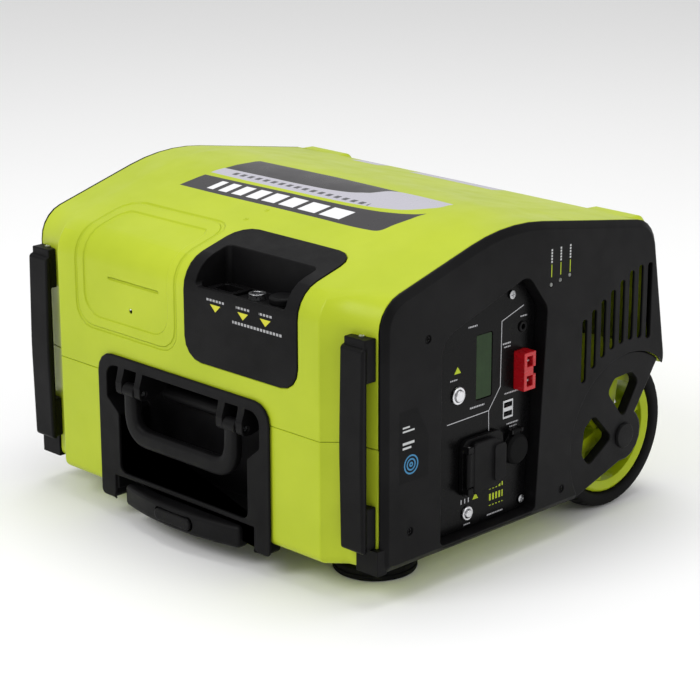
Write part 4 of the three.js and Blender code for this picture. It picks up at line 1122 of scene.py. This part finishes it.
@dataclass
class HandlePanel(SubAssembly):
    """The recessed front panel and the carry handle that swings in it."""

    arm: float = 16.5 * MM
    bar: float = 19.0 * MM
    bend: float = 24.0 * MM
    barrel: float = 7.0 * MM

    def details(self) -> None:
        """Adds the shaped handle with its hinge barrels."""
        low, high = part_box("carry_handle")
        middle = (low.y + high.y) / 2
        depth = (high.y - low.y) / 2
        arm_x = high.x - self.arm / 2 - 0.6 * MM
        hinge_z = high.z - self.barrel
        foot_z = low.z + self.bar / 2
        corners = np.array([(-arm_x, middle, hinge_z), (-arm_x + 1.2 * MM, middle, foot_z),
                            (arm_x - 1.2 * MM, middle, foot_z), (arm_x, middle, hinge_z)])
        path = bent_path(corners, self.bend, 10)
        sunk = np.clip((hinge_z - path[:, 2]) / (hinge_z - foot_z), 0, 1)
        wide = self.arm + (self.bar - self.arm) * sunk ** 1.6
        centre = np.abs(path[:, 0]) / arm_x
        wide = wide * (1 - 0.06 * (1 - centre ** 4) * (sunk > 0.98))
        loop = rounded_loop(1.0, 1.0, 0.62, 4)
        thick = np.repeat(loop[None, :, 1], len(path), 0) * depth
        sections = np.stack([loop[None, :, 0] * wide[:, None] / 2, thick], -1)
        handle = carried(path, np.array([0.0, 1.0, 0.0]), sections)
        half, bore = self.arm / 2, 2.9 * MM
        rounding = 0.8 * MM
        profile = [(bore, -half), (self.barrel - rounding, -half), (self.barrel, -half + rounding),
                   (self.barrel, half - rounding), (self.barrel - rounding, half), (bore, half),
                   (bore, -half)]
        barrels = [lathed(profile, Axis.X, Vector((end * arm_x, middle, hinge_z)), 36) for end in (-1, 1)]
        self.add("carry_handle_grip", [handle, *barrels], "black_plastic",
                 "carry_handle", "carry_handle")


@dataclass
class Trolley(SubAssembly):
    """The pull-out grip, its release button, tubes and sleeves."""


@dataclass
class ChargingPocket(SubAssembly):
    """The charging panel with its inlets and cap."""


@dataclass
class CordRails(SubAssembly):
    """The upright rails the charging leads wind round."""

    def details(self) -> None:
        """Adds the screw in the top of each rail."""
        head = ScrewHead(radius=2.8 * MM, height=1.0 * MM, slot_depth=0.7 * MM)
        for side in Side:
            low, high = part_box(f"cord_rail_{side.word}")
            start = Vector(((low.x + high.x) / 2, high.y - 5 * MM, high.z + 50 * MM))
            foot, outward = landing(f"cord_rail_{side.word}", start, Vector((0, 0, -1)))
            self.add(f"rail_screw_{side.word}", [head.patch(foot, outward)], "zinc_steel", ROOT_BODY)


@dataclass
class Wheels(SubAssembly):
    """Rims, carriers and axle, with tyres whose tread is cut in their surface."""

    grooves: tuple[float, ...] = (-9.5, 0.0, 9.5)
    groove_width: float = 2.2
    groove_depth: float = 1.3
    blocks: int = 52
    block_depth: float = 1.1
    around: int = 416

    def details(self) -> None:
        """Adds both tyres."""
        for side in Side:
            self.tyre(side)

    def tyre(self, side: Side) -> None:
        """A tyre: its closed section turned round the axle, with grooves and shoulder blocks.

        The section is a squared oval. The tread's radius sinks by the groove depth near each groove, and on
        the shoulders by the block depth over part of each block's angle.

        Args:
            side: which wheel it is on.
        """
        name = f"tyre_{side.word}"
        low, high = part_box(name)
        centre = (low + high) / 2
        outer = (high.z - low.z) / 2
        half = (high.x - low.x) / 2
        deep = 16 * MM
        turn = np.linspace(0, 2 * math.pi, 56, endpoint=False)
        squared = 2 / 3.6
        across = half * np.sign(np.cos(turn)) * np.abs(np.cos(turn)) ** squared
        rise = np.sign(np.sin(turn)) * np.abs(np.sin(turn)) ** squared
        radius = outer - deep / 2 + deep / 2 * rise
        angle = np.linspace(0, 2 * math.pi, self.around, endpoint=False)[:, None]
        tread = np.clip((rise - 0.55) / 0.2, 0, 1)
        near = np.min(np.abs(across[:, None] / MM - np.array(self.grooves)[None, :]), axis=1)
        sunk = self.groove_depth * np.clip((self.groove_width / 2 - near) / 0.5 + 0.5, 0, 1)
        wave = np.clip(np.sin(angle * self.blocks + 0.35 * np.sign(across)) * 2.5 - 1.1, 0, 1)
        shoulder = np.clip((np.abs(across) / MM - 12.5) / 1.5, 0, 1) * self.block_depth
        cut = (sunk[None, :] + wave * shoulder[None, :]) * tread[None, :] * MM
        reach = radius[None, :] - cut
        sideways = np.broadcast_to(across, reach.shape)
        grid = placed(reach * np.cos(angle), reach * np.sin(angle), sideways, Axis.X, centre)
        self.add(f"{name}_tread", [Patch(grid, round_rows=True)], "tyre_rubber", body_of_node(name), name)


@dataclass
class Feet(SubAssembly):
    """The two round front feet with a groove round their side."""

    def details(self) -> None:
        """Adds both feet, turned from a profile."""
        for side in Side:
            name = f"front_foot_{side.word}"
            low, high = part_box(name)
            centre = Vector(((low.x + high.x) / 2, (low.y + high.y) / 2, low.z))
            radius, tall = (high.x - low.x) / 2, high.z - low.z
            profile = [(0, 1.2 * MM), (radius * 0.55, 1.2 * MM), (radius * 0.58, 0), (radius - 3 * MM, 0),
                       (radius - 1 * MM, 0.7 * MM), (radius, 2.6 * MM), (radius, 5.4 * MM),
                       (radius - 1.2 * MM, 6.0 * MM), (radius - 1.2 * MM, 7.0 * MM), (radius, 7.6 * MM),
                       (radius, tall - 1.2 * MM), (radius - 1.2 * MM, tall), (0, tall)]
            self.add(f"{name}_turned", [lathed(profile, Axis.Z, centre, 72)],
                     "soft_rubber", ROOT_BODY, name)


@dataclass
class Internals(SubAssembly):
    """What the case holds: tray, battery pack, inverter and cooling fan."""


# ---- Studio ----


@dataclass(frozen=True)
class Lamp:
    """A soft area light."""

    name: str
    place: tuple[float, float, float]
    aim: tuple[float, float, float]
    size: float
    power: float

    def hang(self) -> None:
        """Puts the light in the scene."""
        light = bpy.data.lights.new(self.name, "AREA")
        light.shape = "DISK"
        light.size = self.size
        light.energy = self.power
        lamp = bpy.data.objects.new(self.name, light)
        lamp.location = self.place
        heading = Vector(self.aim) - Vector(self.place)
        lamp.rotation_euler = heading.to_track_quat("-Z", "Y").to_euler()
        bpy.context.scene.collection.objects.link(lamp)


@dataclass(frozen=True)
class Studio:
    """White floor, soft light and the camera."""

    camera_place: tuple[float, float, float] = (1.56612, -1.55075, 0.82688)
    azimuth: float = 45.098
    elevation: float = 17.13
    roll: float = -0.105
    lens: float = 118.14
    floor_half: float = 14.0
    floor_drop: float = 0.2 * MM
    surroundings: float = 0.62
    lamps: tuple[Lamp, ...] = (
        Lamp("key_light", (-0.5, -2.6, 2.4), (0, 0, 0.15), 1.8, 40),
        Lamp("fill_light", (2.8, 0.6, 1.5), (0, 0, 0.15), 1.4, 12),
        Lamp("top_light", (0.0, 0.4, 3.0), (0, 0, 0.2), 2.2, 34),
    )

    def camera(self) -> None:
        """Adds the camera: it looks along the given azimuth and down by the elevation."""
        across, down = math.radians(self.azimuth), math.radians(self.elevation)
        level = math.cos(down)
        heading = Vector((-math.sin(across) * level, math.cos(across) * level, -math.sin(down)))
        lens = bpy.data.cameras.new("studio_camera")
        lens.lens = self.lens
        lens.sensor_width = 36
        lens.clip_end = 60
        camera = bpy.data.objects.new("studio_camera", lens)
        upright = heading.to_track_quat("-Z", "Y").to_matrix().to_4x4()
        camera.matrix_world = (Matrix.Translation(self.camera_place) @ upright
                               @ Matrix.Rotation(math.radians(self.roll), 4, "Z"))
        bpy.context.scene.collection.objects.link(camera)
        bpy.context.scene.camera = camera

    def light(self) -> None:
        """Adds the pale surroundings and the soft lights."""
        world = bpy.data.worlds.new("studio_world")
        world.use_nodes = True
        background = world.node_tree.nodes["Background"]
        background.inputs["Color"].default_value = (1.0, 1.0, 1.0, 1.0)
        background.inputs["Strength"].default_value = self.surroundings
        bpy.context.scene.world = world
        bpy.context.scene.view_settings.view_transform = "Standard"
        for lamp in self.lamps:
            lamp.hang()

    def floor(self) -> None:
        """Adds the pale floor, just under the ground level of the tyres and feet."""
        span = np.linspace(-self.floor_half, self.floor_half, 9)
        u, v = np.meshgrid(span, span, indexing="ij")
        grid = np.stack([u, v, np.full_like(u, -self.floor_drop)], -1)
        patch = Patch(grid, round_columns=False)
        mesh = bpy.data.meshes.new("studio_floor")
        mesh.from_pydata(grid.reshape(-1, 3).tolist(), [], patch.faces(0).tolist())
        sheet = bpy.data.objects.new("studio_floor", mesh)
        maker = Maker("studio_floor", {"Roughness": 0.9, "Specular IOR Level": 0.1})
        maker.feed("Base Color", maker.blend(maker.noise(0.6), (0.92, 0.92, 0.92), (0.95, 0.95, 0.95)))
        mesh.materials.append(maker.material)
        bpy.context.scene.collection.objects.link(sheet)


def pair(name: str, edge: float) -> dict[str, float]:
    """The softened edge of a piece that is on both sides, right first."""
    return {f"{name}_{side.word}": edge for side in Side}


def main() -> None:
    """Builds the studio and every sub-assembly."""
    logging.basicConfig(level=logging.INFO, format="%(name)s: %(message)s")
    studio = Studio()
    studio.camera()
    studio.light()
    studio.floor()
    rack = FinishRack()
    groups: list[SubAssembly] = [
        Case(rack, {"upper_shell": 0.9, "lower_shell": 0.9}),
        SidePanels(rack, {"control_side_panel": 0.6, "fan_side_panel": 0.6}),
        ControlRecess(rack, {
            "control_fascia": 0.3, "lcd_window": 0.5, "display_button_bezel": 0.4, "display_button": 0.4,
            "power_button_bezel": 0.4, "power_button": 0.4, "ac_outlet": 0.5, "ac_outlet_lid": 0.6,
            "ac_lid_pin": 0.2, "dc12_socket": 0.4, "dc12_cap": 0.5, "usb_ports": 0.3,
            "power_connector": 0.6, "dc_port": 0.3, "status_light_bar": 0.3}),
        HandlePanel(rack, {"handle_panel": 0.7, **pair("carry_handle_pin", 0.3)}),
        Trolley(rack, {"trolley_grip": 1.6, "trolley_release_button": 0.7,
                       **pair("trolley_tube", 0.3), **pair("trolley_sleeve", 0.3)}),
        ChargingPocket(rack, {
            "charging_panel": 0.7, "charging_ac_inlet": 0.5, "charging_dc_inlet": 0.3,
            "charging_solar_inlet": 0.4, "charging_inlet_cap": 0.5}),
        CordRails(rack, pair("cord_rail", 1.2)),
        Wheels(rack, {**pair("wheel_rim", 0.6), **pair("wheel_carrier", 0.8),
                      **pair("axle_cap", 0.5), "wheel_axle": 0.4}),
        Feet(rack),
        Internals(rack, {"chassis_tray": 0.3, "battery_pack": 1.0, "inverter_module": 0.3,
                         "cooling_fan_frame": 0.4, "cooling_fan_rotor": 0.3}),
    ]
    for group in groups:
        group.build()
        log.info("%s finished", type(group).__name__)


if __name__ == "__main__":
    main()
